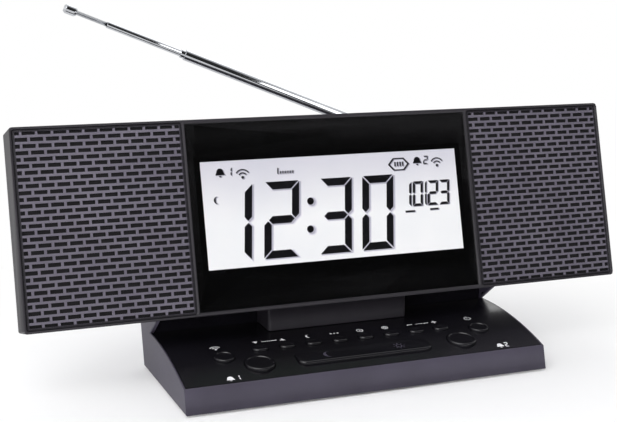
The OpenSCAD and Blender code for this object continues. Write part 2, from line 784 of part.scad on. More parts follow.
module lens_border() {
    color("#0b0b0d") head_frame() slab(lens_back, mask_back) difference() {
        translate([0, mid_h]) square([lens_w, lens_h], center = true);
        translate([0, window_mid]) square([window_w, window_h], center = true);
    }
}
module display_glass() {
    color("#dcdae6") head_frame() slab(glass_d0, glass_d0 + glass_t) translate([0, window_mid])
        square([glass_w, glass_h], center = true);
}
module backlight_diffuser() {
    color("#f2f2f4") head_frame() slab(diffuser_d0, diffuser_d0 + diffuser_t) translate([0, window_mid])
        square([glass_w - 2, glass_h - 2], center = true);
}
module display_board() {
    color(board_green) head_frame() difference() {
        slab(display_board_d0, display_board_d0 + board_t) translate([0, window_mid])
            square([display_board_w, display_board_h], center = true);
        for (p = display_pillars) {
            rod_d(p[0], p[1], pillar_screw_r + screw_gap, display_board_d0 - past,
                display_board_d0 + board_t + past);
        }
    }
}
module display_board_screws() {
    color(bright_steel) head_frame() for (p = display_pillars) {
        rod_d(p[0], p[1], 1.9, display_board_d0 + board_t, display_board_d0 + board_t + 1);
        rod_d(p[0], p[1], pillar_screw_r, display_board_d0 - 2, display_board_d0 + board_t);
    }
}

// Grilles: steel sheets pierced with a brick pattern of slots
tray_w = grille_x1 - grille_x0 - 2 * grille_gap;
tray_h = head_h - 2 * grille_rim_h - 2 * grille_gap;
tray_edge = grille_ledge;
slot_rows = ceil((tray_h - 2 * tray_edge) / slot_step_h);
slot_cols = floor((tray_w + slot_step_x - slot_web) / slot_step_x);
slot_l = slot_step_x - slot_web;
slot_h = slot_step_h - slot_web;
function clipped(place, size) = max(tray_edge - size / 2, min(size / 2 - tray_edge, place));
slots = [for (r = [0:slot_rows - 1], c = [-1:slot_cols]) let (
    x = (c - (slot_cols - 1) / 2 + (r % 2 == 0 ? 0 : 0.5)) * slot_step_x,
    h = (r - (slot_rows - 1) / 2) * slot_step_h,
    x0 = clipped(x - slot_l / 2, tray_w), x1 = clipped(x + slot_l / 2, tray_w),
    h0 = clipped(h - slot_h / 2, tray_h), h1 = clipped(h + slot_h / 2, tray_h))
    if (min(x1 - x0, (h1 - h0) * 2) > slot_web) [x0, x1, h0, h1]];
module slotted_sheet() {
    corners = [for (q = [0:3], k = [0:6]) let (a = q * 90 + k * 15,
        sx = q == 0 || q == 3 ? 1 : -1, sy = q < 2 ? 1 : -1)
        [sx * (tray_w / 2 - grille_corner_r) + grille_corner_r * cos(a),
         sy * (tray_h / 2 - grille_corner_r) + grille_corner_r * sin(a)]];
    points = concat(corners, [for (s = slots, k = [0:3])
        [k == 0 || k == 3 ? s[0] : s[1], k < 2 ? s[2] : s[3]]]);
    paths = concat([[for (i = [0:len(corners) - 1]) i]],
        [for (i = [0:len(slots) - 1]) [for (k = [0:3]) len(corners) + 4 * i + k]]);
    polygon(points, paths);
}
module grille(side) {
    color("#5a575f") head_frame() translate([side * speaker_x, 0, mid_h])
        slab(grille_sink, grille_sink + sheet_t) slotted_sheet();
}
module grille_left() grille(-1);
module grille_right() grille(1);

// Drivers: basket, cone and magnet, turned about the speaker's axis
module turned(side) {
    head_frame() translate([side * speaker_x, baffle_d, mid_h]) rotate([-90, 0, 0])
        rotate_extrude($fn = 96) children();
}
plate_t = 1;
flange_t = 1.5;
hub_r = magnet_r * 0.55;
spider = basket_d - 1.5;
module basket(side) {
    color("#3a3a3e") difference() {
        turned(side) polygon([[cone_r + seam * 2, 0], [flange_r, 0], [flange_r, flange_t],
            [flange_r - 4.5, flange_t],
            [magnet_r + 1.5, basket_d], [hub_r, basket_d], [hub_r, basket_d - plate_t],
            [magnet_r + 0.5, basket_d - plate_t], [flange_r - 6.5, flange_t], [cone_r + seam * 2, flange_t]]);
        head_frame() for (a = [45:90:315]) {
            rod_d(side * speaker_x + driver_screw_r * cos(a), mid_h + driver_screw_r * sin(a),
                pillar_screw_r + screw_gap, baffle_d - past, baffle_d + flange_t + past);
        }
    }
}
module cone(side) {
    roll = 1.9;
    color("#1d1d20") turned(side) polygon([[cone_r, 0.2], [cone_r, 0.9], [cone_r - roll, 0.9],
        [hub_r, spider], [0, spider - 1], [0, spider - 1.6], [hub_r + 0.2, spider - 0.6],
        [cone_r - roll - 0.2, 0.2]]);
}
module magnet(side) {
    color("#6a6a6e") turned(side) translate([0, basket_d]) square([magnet_r, magnet_t]);
}
module basket_left() basket(-1);
module basket_right() basket(1);
module cone_left() cone(-1);
module cone_right() cone(1);
module magnet_left() magnet(-1);
module magnet_right() magnet(1);
module speaker_screws() {
    color(bright_steel) head_frame() for (side = [-1, 1], a = [45:90:315]) {
        x = side * speaker_x + driver_screw_r * cos(a);
        h = mid_h + driver_screw_r * sin(a);
        rod_d(x, h, 1.9, baffle_d + flange_t, baffle_d + flange_t + 1);
        rod_d(x, h, pillar_screw_r, recess_d + 0.6, baffle_d + flange_t);
    }
}

// Rear cover of the head, with vents behind the drivers and the opening into the column
cover_seat = head_d - 3.5;
port_rows = 9;
port_step = 6;
port_w = 44;
port_slot = 2.2;
passage_w = 2 * (base_w / 2 - wall - 12);
passage_h0 = ledge_h + wall + 4;
module rear_cover() {
    color(satin) head_frame() difference() {
        union() {
            difference() {
                slab(cabinet_d, head_d) translate([0, mid_h]) rounded_rect(head_w, head_h, head_corner_r);
                slab(cabinet_d - past, head_d - wall) translate([0, mid_h])
                    square([head_w - 2 * wall, head_h - 2 * wall], center = true);
            }
            mirrored() for (p = cabinet_pillars) {
                rod_d(p[0], p[1], screw_head_r + wall, cabinet_d, head_d - wall / 2);
            }
        }
        mirrored() {
            for (p = cabinet_pillars) {
                rod_d(p[0], p[1], screw_r + screw_gap, cabinet_d - past, head_d + past);
                rod_d(p[0], p[1], screw_head_r + screw_gap, cover_seat, head_d + past);
            }
            for (i = [0:port_rows - 1]) {
                translate([speaker_x + 5 - port_w / 2, head_d - wall - past,
                    mid_h + (i - (port_rows - 1) / 2) * port_step - port_slot / 2])
                    cube([port_w, wall + 2 * past, port_slot]);
            }
        }
        translate([-passage_w / 2, head_d - wall - past, passage_h0])
            cube([passage_w, wall + 2 * past, column_h - wall - 4 - passage_h0]);
    }
}
module cover_screws() {
    color(bright_steel) head_frame() mirrored() for (p = cabinet_pillars) {
        translate([p[0], cover_seat, p[1]]) rotate([-90, 0, 0]) screw(cover_seat - baffle_d - 2);
    }
}

module tune_down_key() key(small_spots[0]);
module tune_up_key() key(small_spots[1]);
module sleep_key() key(small_spots[2]);
module preset_key() key(small_spots[3]);
module clock_key() key(small_spots[4]);
module zone_key() key(small_spots[5]);
module volume_down_key() key(small_spots[6]);
module volume_up_key() key(small_spots[7]);

// Antenna: a swivel in a bush on the column's top, a forked elbow and four telescoping sections
chrome = "#cfd2d6";
pivot_h = column_h + pivot_up;
neck_r = 3.5;
run_gap = 0.05;
ear_t = 2;
ear_gap = 0.25;
turn_gap = 0.2;
knuckle_t = tube_dia - 0.6;
ear_r = 3.5;
disc_r = 6.5;
disc_t = 2.4;
clip_t = 1.2;
pin_r = 1.25;
head_r = 2.2;
fork_w = knuckle_t + 2 * ear_gap + 2 * ear_t;
module swivel_frame() {
    head_frame() translate([pivot_x, pivot_d, column_h]) children();
}
// Z runs out along the antenna from its pivot
module antenna_frame() {
    head_frame() translate([pivot_x, pivot_d, pivot_h]) rotate([0, antenna_angle - 90, 0]) children();
}
module antenna_bush() {
    color("#2a2a2e") swivel_frame() difference() {
        union() {
            translate([0, 0, -bush_d]) cylinder(r = bush_r, h = bush_d);
            cylinder(r = disc_r, h = bush_lip);
        }
        translate([0, 0, -bush_d - past]) cylinder(r = neck_r + run_gap, h = bush_d + 2 * past + bush_lip);
    }
}
bush_lip = 0.8;
clip_low = -bush_d - clip_t - turn_gap;
module antenna_swivel() {
    low = bush_lip + turn_gap;
    color(chrome) swivel_frame() difference() {
        union() {
            translate([0, 0, clip_low]) cylinder(r = neck_r, h = low + disc_t / 2 - clip_low);
            translate([0, 0, clip_low]) cylinder(r = neck_r + 1.2, h = clip_t);
            translate([0, 0, low]) cylinder(r = disc_r, h = disc_t);
            translate([-ear_r, -fork_w / 2, low + disc_t / 2])
                cube([2 * ear_r, fork_w, pivot_up - low - disc_t / 2]);
            translate([0, fork_w / 2, pivot_up]) rotate([90, 0, 0]) cylinder(r = ear_r, h = fork_w);
        }
        translate([-disc_r, -knuckle_t / 2 - ear_gap, low + disc_t])
            cube([2 * disc_r, knuckle_t + 2 * ear_gap, pivot_up + ear_r]);
        translate([0, fork_w, pivot_up]) rotate([90, 0, 0]) cylinder(r = pin_r + run_gap, h = 2 * fork_w);
    }
}
module antenna_pin() {
    color(chrome) swivel_frame() translate([0, 0, pivot_up]) rotate([90, 0, 0]) {
        translate([0, 0, -fork_w / 2]) cylinder(r = pin_r, h = fork_w);
        for (z = [-fork_w / 2 - 0.8, fork_w / 2]) translate([0, 0, z]) cylinder(r = head_r, h = 0.8);
    }
}
// One section: tube with a rolled mouth and, inside its neighbour, a wider heel
slide_gap = tube_step / 2 - tube_wall;
mouth_l = 2;
heel_l = 3;
mouth_gap = 0.05;
tongue_l = 10;
section_step = 4;
outer_bore0 = tongue_l + 3;
second_end = outer_reach + second_out;
third_end = second_end + third_out;
rod_end = third_end + rod_out;
tube_l = outer_reach - outer_bore0 - 2;
function section_dia(i) = tube_dia - i * tube_step;
module section(i, from, to) {
    bore = section_dia(i) / 2 - tube_wall;
    next = section_dia(i + 1) / 2 + mouth_gap;
    difference() {
        union() {
            translate([0, 0, from]) cylinder(d = section_dia(i), h = to - from);
            if (i > 0) {
                translate([0, 0, from]) cylinder(r = section_dia(i) / 2 + slide_gap - mouth_gap, h = heel_l);
            }
        }
        translate([0, 0, from - past]) cylinder(r = bore, h = to - mouth_l - from + past);
        translate([0, 0, from - past]) cylinder(r = next, h = to - from + 2 * past);
    }
}
module antenna_outer_tube() {
    color(chrome) antenna_frame() difference() {
        union() {
            section(0, outer_bore0, outer_reach);
            translate([0, 0, tongue_l]) cylinder(d = tube_dia, h = outer_bore0 - tongue_l + 0.5);
            translate([-ear_r + 0.5, -knuckle_t / 2, 0]) cube([2 * ear_r - 1, knuckle_t, tongue_l]);
            translate([0, knuckle_t / 2, 0]) rotate([90, 0, 0]) cylinder(r = ear_r - 0.5, h = knuckle_t);
            translate([0, 0, tongue_l - 1.5]) cylinder(d = tube_dia + 1.4, h = 2.5);
        }
        translate([0, fork_w, 0]) rotate([90, 0, 0]) cylinder(r = pin_r + run_gap, h = 2 * fork_w);
    }
}
module antenna_second_tube() {
    color(chrome) antenna_frame() section(1, second_end - tube_l, second_end);
}
module antenna_third_tube() {
    color(chrome) antenna_frame() section(2, third_end - tube_l + section_step, third_end);
}
module antenna_rod() {
    heel_r = section_dia(3) / 2 + slide_gap - mouth_gap;
    from = rod_end - tube_l + 2 * section_step;
    color(chrome) antenna_frame() {
        translate([0, 0, from]) cylinder(d = section_dia(3), h = rod_end - from + tip_l / 2);
        translate([0, 0, from]) cylinder(r = heel_r, h = heel_l);
        translate([0, 0, rod_end]) cylinder(d1 = section_dia(3) + 1, d2 = tip_dia, h = 1);
        translate([0, 0, rod_end + 1]) cylinder(d = tip_dia, h = tip_l - 2);
        translate([0, 0, rod_end + tip_l - 1]) cylinder(d1 = tip_dia, d2 = tip_dia - 1.4, h = 1);
    }
}

base_housing();
control_panel();
neck_fascia();
neck_post();
bottom_cover();
rubber_feet();
bottom_screws();
battery_door();
backup_cells();
cell_contacts();
key_board();
key_switches();
key_board_screws();
rear_panel();
rear_screws();
main_board();
board_parts();
tuner_can();
power_inlet();
audio_socket();
ribbon_cable();
main_board_screws();
front_cabinet();
display_lens();
lens_border();
display_glass();
backlight_diffuser();
display_board();
display_board_screws();
grille_left();
grille_right();
basket_left();
basket_right();
cone_left();
cone_right();
magnet_left();
magnet_right();
speaker_screws();
rear_cover();
cover_screws();
snooze_key();
alarm_1_key();
alarm_2_key();
source_key();
power_key();
tune_down_key();
tune_up_key();
sleep_key();
preset_key();
clock_key();
zone_key();
volume_down_key();
volume_up_key();
antenna_bush();
antenna_swivel();
antenna_pin();
antenna_outer_tube();
antenna_second_tube();
antenna_third_tube();
antenna_rod();
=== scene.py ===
import json
from math import atan2, cos, hypot, pi, radians, sin

import bmesh
import bpy
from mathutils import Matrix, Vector
from mathutils.bvhtree import BVHTree


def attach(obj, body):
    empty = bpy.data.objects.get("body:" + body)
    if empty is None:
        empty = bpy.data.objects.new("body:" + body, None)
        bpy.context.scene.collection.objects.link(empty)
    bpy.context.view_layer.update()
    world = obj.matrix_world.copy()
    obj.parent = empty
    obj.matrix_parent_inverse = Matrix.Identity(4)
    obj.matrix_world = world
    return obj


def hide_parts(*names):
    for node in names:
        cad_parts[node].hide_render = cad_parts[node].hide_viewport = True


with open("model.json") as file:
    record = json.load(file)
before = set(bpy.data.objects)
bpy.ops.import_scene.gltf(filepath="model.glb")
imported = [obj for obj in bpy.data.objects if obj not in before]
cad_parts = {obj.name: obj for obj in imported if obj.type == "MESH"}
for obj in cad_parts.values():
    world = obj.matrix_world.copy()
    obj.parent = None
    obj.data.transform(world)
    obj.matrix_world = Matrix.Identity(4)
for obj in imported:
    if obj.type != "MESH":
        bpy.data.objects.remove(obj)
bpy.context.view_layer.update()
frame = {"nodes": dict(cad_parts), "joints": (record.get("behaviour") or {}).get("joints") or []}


# Base housing, bottom cover, rear panel and battery door.
# Dark grey ABS from spark-eroded moulds, so each has a fine satin grain and slightly rounded edges.
# The covers are screwed to bosses in the housing, and the battery door slides out to the back.
mm = 0.001


def linear(code):
    """An sRGB hex colour in linear light, with full alpha."""
    parts = [int(code[i:i + 2], 16) / 255 for i in (1, 3, 5)]
    return [c / 12.92 if c <= 0.04045 else ((c + 0.055) / 1.055) ** 2.4 for c in parts] + [1.0]


def add_node(tree, kind, inputs=None, **settings):
    """Adds a node with its settings; an input is a value, or the output socket that feeds it."""
    made = tree.nodes.new("ShaderNode" + kind)
    for name, value in settings.items():
        if name == "stops":
            ramp = made.color_ramp.elements
            while len(ramp) < len(value):
                ramp.new(1.0)
            for stop, (place, colour) in zip(ramp, value):
                stop.position, stop.color = place, linear(colour)
        else:
            setattr(made, name, value)
    for name, value in (inputs or {}).items():
        if isinstance(value, bpy.types.NodeSocket):
            tree.links.new(value, made.inputs[name])
        else:
            made.inputs[name].default_value = value
    return made


def new_material(name, **constants):
    """A material with its tree, its shader and the piece's own coordinates in metres."""
    made = bpy.data.materials.new(name)
    made.use_nodes = True
    shader = made.node_tree.nodes["Principled BSDF"]
    for socket, value in constants.items():
        shader.inputs[socket.replace("_", " ")].default_value = value
    place = add_node(made.node_tree, "TexCoord").outputs["Object"]
    return made, made.node_tree, shader, place


def feed(shader, **outputs):
    """Links outputs to the shader's sockets."""
    for socket, output in outputs.items():
        shader.id_data.links.new(output, shader.inputs[socket.replace("_", " ")])


# Spark-eroded ABS: a grain of about 0.35 mm, drawn at 0.7 mm so that it shows, breaks up the sheen.
satin_abs, tree, shader, place = new_material("satin_moulded_ABS", IOR=1.53)
cloud = add_node(tree, "TexNoise", {"Vector": place, "Scale": 1 / (22 * mm), "Detail": 3.0})
tone = add_node(tree, "ValToRGB", {"Fac": cloud.outputs["Fac"]}, stops=[(0.3, "#36323f"), (0.7, "#3f3b49")])
grain = add_node(tree, "TexNoise", {"Vector": place, "Scale": 1 / (0.7 * mm), "Detail": 2.0})
rough = add_node(tree, "MapRange", {"Value": grain.outputs["Fac"], "To Min": 0.48, "To Max": 0.6})
relief = add_node(tree, "Bump", {"Height": grain.outputs["Fac"], "Strength": 0.25, "Distance": 0.06 * mm})
feed(shader, Base_Color=tone.outputs["Color"], Roughness=rough.outputs["Result"],
     Normal=relief.outputs["Normal"])


def eased(name, body, material, ease, steps=2, thinnest=0.0):
    """A copy of a CAD piece, its outer edges rounded by ease except beside faces up to thinnest wide."""
    weld, flat_angle = 0.002 * mm, radians(0.05)
    edge_least, edge_most = radians(30), radians(100)
    shape = bmesh.new()
    shape.from_mesh(frame["nodes"][name].data)
    bmesh.ops.remove_doubles(shape, verts=shape.verts, dist=weld)
    bmesh.ops.dissolve_degenerate(shape, edges=shape.edges, dist=weld)
    flat = [e for e in shape.edges if e.is_manifold and e.calc_face_angle(pi) < flat_angle]
    bmesh.ops.beautify_fill(shape, faces=shape.faces, edges=flat, method="AREA")
    for face in shape.faces:
        face.smooth = True
    weight = shape.edges.layers.float.new("bevel_weight_edge")
    for edge in shape.edges:
        if edge.is_convex and edge_least < edge.calc_face_angle(0) < edge_most:
            width = min(2 * f.calc_area() / edge.calc_length() for f in edge.link_faces)
            edge[weight] = float(width > thinnest)
    mesh = bpy.data.meshes.new(name + "_skin")
    shape.to_mesh(mesh)
    shape.free()
    mesh.attributes.remove(mesh.attributes["custom_normal"])
    mesh.materials.clear()
    mesh.materials.append(material)
    piece = bpy.data.objects.new(name + "_skin", mesh)
    bpy.context.scene.collection.objects.link(piece)
    rounded = piece.modifiers.new("eased_edges", "BEVEL")
    rounded.width, rounded.segments = ease, steps
    rounded.limit_method = "WEIGHT"
    rounded.use_clamp_overlap, rounded.loop_slide = False, False
    rounded.miter_outer = "MITER_ARC"
    rounded.harden_normals = True
    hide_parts(name)
    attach(piece, body)
    return piece


eased("base_housing", "housing", satin_abs, 0.35 * mm)
for name in ("bottom_cover", "rear_panel"):
    eased(name, "housing", satin_abs, 0.12 * mm, thinnest=0.26 * mm)
eased("battery_door", "door", satin_abs, 0.15 * mm)


# Rubber feet: four discs of moulded synthetic rubber, stuck under the bottom cover.
# The rubber is dull and nearly black, with a faint bloom on it in patches of about 3 mm.
soft_rubber, tree, shader, place = new_material("moulded_rubber", IOR=1.52)
bloom = add_node(tree, "TexNoise", {"Vector": place, "Scale": 1 / (3 * mm), "Detail": 4.0})
tone = add_node(tree, "ValToRGB", {"Fac": bloom.outputs["Fac"]}, stops=[(0.35, "#161617"), (0.75, "#242426")])
rough = add_node(tree, "MapRange", {"Value": bloom.outputs["Fac"], "To Min": 0.7, "To Max": 0.9})
feed(shader, Base_Color=tone.outputs["Color"], Roughness=rough.outputs["Result"])
eased("rubber_feet", "housing", soft_rubber, 0.25 * mm)


# Screws: cross-recessed pan heads of steel, barrel plated with zinc.
# Plating gives a bright, slightly cloudy grey with tumbling marks of about 1.2 mm.
zinc_plate, tree, shader, place = new_material("zinc_plated_steel", Metallic=1.0)
marks = add_node(tree, "TexNoise", {"Vector": place, "Scale": 1 / (1.2 * mm), "Detail": 5.0})
tone = add_node(tree, "ValToRGB", {"Fac": marks.outputs["Fac"]}, stops=[(0.3, "#a9abad"), (0.7, "#c9cbce")])
rough = add_node(tree, "MapRange", {"Value": marks.outputs["Fac"], "To Min": 0.22, "To Max": 0.42})
feed(shader, Base_Color=tone.outputs["Color"], Roughness=rough.outputs["Result"])
for name in ("bottom_screws", "rear_screws", "cover_screws"):
    eased(name, "housing", zinc_plate, 0.12 * mm)


def dress(material, *names):
    """Gives CAD pieces that keep their shape their own material."""
    for name in names:
        slots = frame["nodes"][name].data.materials
        slots.clear()
        slots.append(material)


dress(zinc_plate, "key_board_screws", "main_board_screws", "display_board_screws", "speaker_screws",
      "tuner_can", "cell_contacts")


# Circuit boards: glass-fibre laminate under green solder lacquer, screwed to pillars.
# Copper tracks about 1.2 mm apart show through the lacquer as paler lines.
track_pitch, track_run = 1.2 * mm, 4.8 * mm
lacquered_board, tree, shader, place = new_material("lacquered_glass_fibre_board", IOR=1.5, Roughness=0.3)
tracks = add_node(tree, "TexBrick", {
    "Vector": place, "Scale": 1 / track_run, "Color1": linear("#123f28"), "Color2": linear("#174a30"),
    "Mortar": linear("#2f7a4e"), "Mortar Size": 0.03, "Brick Width": 1.0,
    "Row Height": track_pitch / track_run}, offset=0.35, squash=2.0)
relief = add_node(tree, "Bump", {"Height": tracks.outputs["Fac"], "Strength": 0.3, "Distance": 0.04 * mm})
feed(shader, Base_Color=tracks.outputs["Color"], Normal=relief.outputs["Normal"])
dress(lacquered_board, "key_board", "main_board", "display_board")


# Switches, capacitors, sockets and the antenna's bush: moulded black nylon.
# Nylon from a plain steel mould is dull, with flow marks a few millimetres long.
black_nylon, tree, shader, place = new_material("moulded_black_nylon", IOR=1.53)
flow = add_node(tree, "TexNoise", {"Vector": place, "Scale": 1 / (4 * mm), "Detail": 3.0, "Distortion": 1.5})
tone = add_node(tree, "ValToRGB", {"Fac": flow.outputs["Fac"]}, stops=[(0.35, "#161618"), (0.7, "#1f1f22")])
rough = add_node(tree, "MapRange", {"Value": flow.outputs["Fac"], "To Min": 0.45, "To Max": 0.62})
feed(shader, Base_Color=tone.outputs["Color"], Roughness=rough.outputs["Result"])
dress(black_nylon, "key_switches", "board_parts")
for name in ("power_inlet", "audio_socket", "antenna_bush"):
    eased(name, "housing", black_nylon, 0.2 * mm)


# Flat cable from the key board to the main board, in grey ribbed insulation.
# The ribs are the separate wires, 1.27 mm apart across the cable, pale on top and darker between.
def band_scale(pitch):
    """The scale at which a Wave texture has one band in each pitch."""
    return 2 * pi / 20 / pitch


ribbed_cable, tree, shader, place = new_material("ribbed_cable_insulation", IOR=1.5, Roughness=0.5)
wires = add_node(tree, "TexWave", {"Vector": place, "Scale": band_scale(1.27 * mm)}, bands_direction="X")
tone = add_node(tree, "ValToRGB", {"Fac": wires.outputs["Fac"]}, stops=[(0.1, "#6f7276"), (0.6, "#9a9da1")])
relief = add_node(tree, "Bump", {"Height": wires.outputs["Fac"], "Strength": 0.6, "Distance": 0.2 * mm})
feed(shader, Base_Color=tone.outputs["Color"], Normal=relief.outputs["Normal"])
dress(ribbed_cable, "ribbon_cable")


# Backup cells: steel cans in a printed foil jacket, with a plain band at one end.
# The band ends 12 mm left of the middle, and the foil has a fine sheen with a grain of about 0.8 mm.
band_end, band_blur = -12 * mm, 0.2 * mm
foil_jacket, tree, shader, place = new_material("printed_foil_jacket", Metallic=0.6, Roughness=0.35)
across = add_node(tree, "SeparateXYZ", {"Vector": place}).outputs["X"]
band = add_node(tree, "MapRange", {"Value": across, "From Min": band_end - band_blur,
                                   "From Max": band_end + band_blur})
tone = add_node(tree, "ValToRGB", {"Fac": band.outputs["Result"]}, stops=[(0.0, "#a8864e"), (1.0, "#2d3c4d")])
brush = add_node(tree, "TexNoise", {"Vector": place, "Scale": 1 / (0.8 * mm), "Detail": 2.0})
relief = add_node(tree, "Bump", {"Height": brush.outputs["Fac"], "Strength": 0.1, "Distance": 0.03 * mm})
feed(shader, Base_Color=tone.outputs["Color"], Normal=relief.outputs["Normal"])
eased("backup_cells", "housing", foil_jacket, 0.4 * mm, 3)


# Control panel and the wall behind it: black ABS from a polished mould, clipped into the housing.
# Polished ABS mirrors the room softly, with a faint ripple from the mould and marks from wiping.
gloss_abs, tree, shader, place = new_material("polished_black_ABS", IOR=1.53)
ripple = add_node(tree, "TexNoise", {"Vector": place, "Scale": 1 / (30 * mm), "Detail": 1.0})
tone = add_node(tree, "ValToRGB", {"Fac": ripple.outputs["Fac"]}, stops=[(0.3, "#0c0b0e"), (0.7, "#121116")])
wiped = add_node(tree, "TexNoise", {"Vector": place, "Scale": 1 / (12 * mm), "Detail": 3.0,
                                    "Distortion": 1.0})
rough = add_node(tree, "MapRange", {"Value": wiped.outputs["Fac"], "To Min": 0.25, "To Max": 0.28})
relief = add_node(tree, "Bump", {"Height": ripple.outputs["Fac"], "Strength": 0.05, "Distance": 0.3 * mm})
feed(shader, Base_Color=tone.outputs["Color"], Roughness=rough.outputs["Result"],
     Normal=relief.outputs["Normal"])
dress(gloss_abs, "control_panel")
eased("neck_fascia", "housing", gloss_abs, 0.3 * mm)


# Keys: polished black ABS caps, each held by a ledge under the panel and sprung by its switch.
# Round caps have a raised rim about a face that is almost flat.
# The others have a rounded rim and a top dished for the finger.
deck_slope, deck_front, deck_height = radians(8.5), -32.44, 11.1
deck_up = Vector((0, -sin(deck_slope), cos(deck_slope)))


def on_deck(x, back, up):
    """A place on the deck's slope, in millimetres across, back and up, as a point in metres."""
    y = back * cos(deck_slope) - up * sin(deck_slope)
    z = back * sin(deck_slope) + up * cos(deck_slope)
    return Vector((x, deck_front + y, deck_height + z)) * mm


def key_cap(name, body, rim, dish, lip=0.0, step=0.0):
    """A copy of a CAD key whose crown is grown again: rounded rim, flat lip, step down, dished face."""
    weld, flat_angle, crown = 0.002 * mm, radians(0.2), 1.2 * mm
    rim_steps, dish_rings = 6, (0.9, 0.75, 0.55, 0.3, 0.1)
    shape = bmesh.new()
    shape.from_mesh(frame["nodes"][name].data)
    bmesh.ops.remove_doubles(shape, verts=shape.verts, dist=weld)
    bmesh.ops.dissolve_limit(shape, angle_limit=flat_angle, verts=shape.verts, edges=shape.edges)
    top = max(v.co.dot(deck_up) for v in shape.verts)
    cut = bmesh.ops.bisect_plane(shape, geom=shape.verts[:] + shape.edges[:] + shape.faces[:], dist=1e-7,
                                 plane_co=deck_up * (top - crown), plane_no=deck_up, clear_outer=True)
    links = {}
    for edge in cut["geom_cut"]:
        if isinstance(edge, bmesh.types.BMEdge):
            for v in edge.verts:
                links.setdefault(v, []).append(edge.other_vert(v))
    loop = [next(iter(links))]
    while len(loop) < len(links):
        loop.append(next(v for v in links[loop[-1]] if v not in loop))
    centre = sum((v.co for v in loop), Vector()) / len(loop)
    inward = []
    for i, v in enumerate(loop):
        along = (loop[(i + 1) % len(loop)].co - loop[i - 1].co).normalized()
        side = along.cross(deck_up)
        inward.append(side if side.dot(centre - v.co) > 0 else -side)
    turns = [i * pi / 2 / rim_steps for i in range(rim_steps + 1)]
    rings = [(rim * (1 - cos(a)), 1.0, rim * (sin(a) - 1)) for a in turns]
    if step:
        rings += [(rim + lip, 1.0, 0.0), (rim + lip + step, 1.0, -step)]
    inner = rim + lip + step
    rings += [(inner, k, -step - dish * (1 - k * k)) for k in dish_rings]
    base, last = [v.co.copy() for v in loop], loop
    for inset, spread, height in rings:
        row = []
        for start, side in zip(base, inward):
            spot = centre + (start + side * inset - centre) * spread
            row.append(shape.verts.new(spot + deck_up * (crown + height)))
        for i in range(len(loop)):
            shape.faces.new((last[i - 1], last[i], row[i], row[i - 1]))
        last = row
    shape.faces.new(last)
    bmesh.ops.recalc_face_normals(shape, faces=shape.faces)
    for face in shape.faces:
        face.smooth = True
    mesh = bpy.data.meshes.new(name + "_cap")
    shape.to_mesh(mesh)
    shape.free()
    mesh.attributes.remove(mesh.attributes["custom_normal"])
    mesh.set_sharp_from_angle(angle=radians(35))
    mesh.materials.clear()
    mesh.materials.append(gloss_abs)
    piece = bpy.data.objects.new(name + "_cap", mesh)
    bpy.context.scene.collection.objects.link(piece)
    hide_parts(name)
    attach(piece, body)
    return piece


round_keys = ("alarm_1_key", "alarm_2_key", "source_key", "power_key")
caps = {}
for joint in frame["joints"]:
    if joint["name"].endswith("_press"):
        name = joint["name"].replace("_press", "_key")
        if name in round_keys:
            caps[name] = key_cap(name, joint["child"], 0.6 * mm, 0.1 * mm, lip=0.3 * mm, step=0.3 * mm)
        else:
            caps[name] = key_cap(name, joint["child"], 0.8 * mm, 0.25 * mm)


# Marks beside the keys: white ink, pad printed on the curved panel, 0.03 mm thick.
# They are plain signs, drawn in millimetres: bells with a number, radio waves, power, arrows, a crescent,
# dots, a clock, a globe, minus and plus.
def ring(x, y, inner, outer, start=0, end=360, steps=28, tall=1.0):
    """A flat ring, or part of one, as four-sided faces."""
    turn = [radians(start + (end - start) * i / steps) for i in range(steps + 1)]
    return [[(x + r * cos(a), y + r * sin(a) * tall) for r, a in
             ((inner, a0), (outer, a0), (outer, a1), (inner, a1))] for a0, a1 in zip(turn, turn[1:])]


def disc(x, y, r):
    """A full disc, as one face."""
    return [[(x + r * cos(i * pi / 12), y + r * sin(i * pi / 12)) for i in range(24)]]


def bar(x0, y0, x1, y1, w):
    """A straight stroke of width w."""
    run = hypot(x1 - x0, y1 - y0)
    dx, dy = (y0 - y1) / run * w / 2, (x1 - x0) / run * w / 2
    return [[(x0 - dx, y0 - dy), (x1 - dx, y1 - dy), (x1 + dx, y1 + dy), (x0 + dx, y0 + dy)]]


def bell(x, y, s):
    """A bell of height s standing on y, with its clapper."""
    dome = [(0.36 * cos(a), 0.5 + 0.36 * sin(a)) for a in (i * pi / 10 for i in range(11))]
    wide = [(0.5, 0.2), *dome, (-0.5, 0.2)]
    clapper = [(-0.14, 0.12), (-0.08, 0.0), (0.08, 0.0), (0.14, 0.12)]
    return [[(x + s * u, y + s * v) for u, v in outline] for outline in (wide, clapper)]


def crescent(x, y, r):
    """A crescent moon, as faces from its outer edge to its inner one."""
    outer = [(r * cos(radians(a)), r * sin(radians(a))) for a in range(60, 301, 20)]
    inner = [(u + (0.62 - 0.62 * abs(i - 6) / 6) * r, v * (0.82 + 0.18 * abs(i - 6) / 6))
             for i, (u, v) in enumerate(outer)]
    rows = list(zip(outer, inner))
    return [[(x + u, y + v) for u, v in (a[0], b[0], b[1], a[1])] for a, b in zip(rows, rows[1:])]


def waves(x, y, s):
    """A dot with two arcs over it, the usual sign for radio."""
    arcs = [ring(x, y, r * s, (r + 0.14) * s, 35, 145, 10) for r in (0.42, 0.78)]
    return disc(x, y, 0.16 * s) + arcs[0] + arcs[1]


lit_segments = {"0": "abcdef", "1": "bc", "2": "abged", "3": "abgcd"}


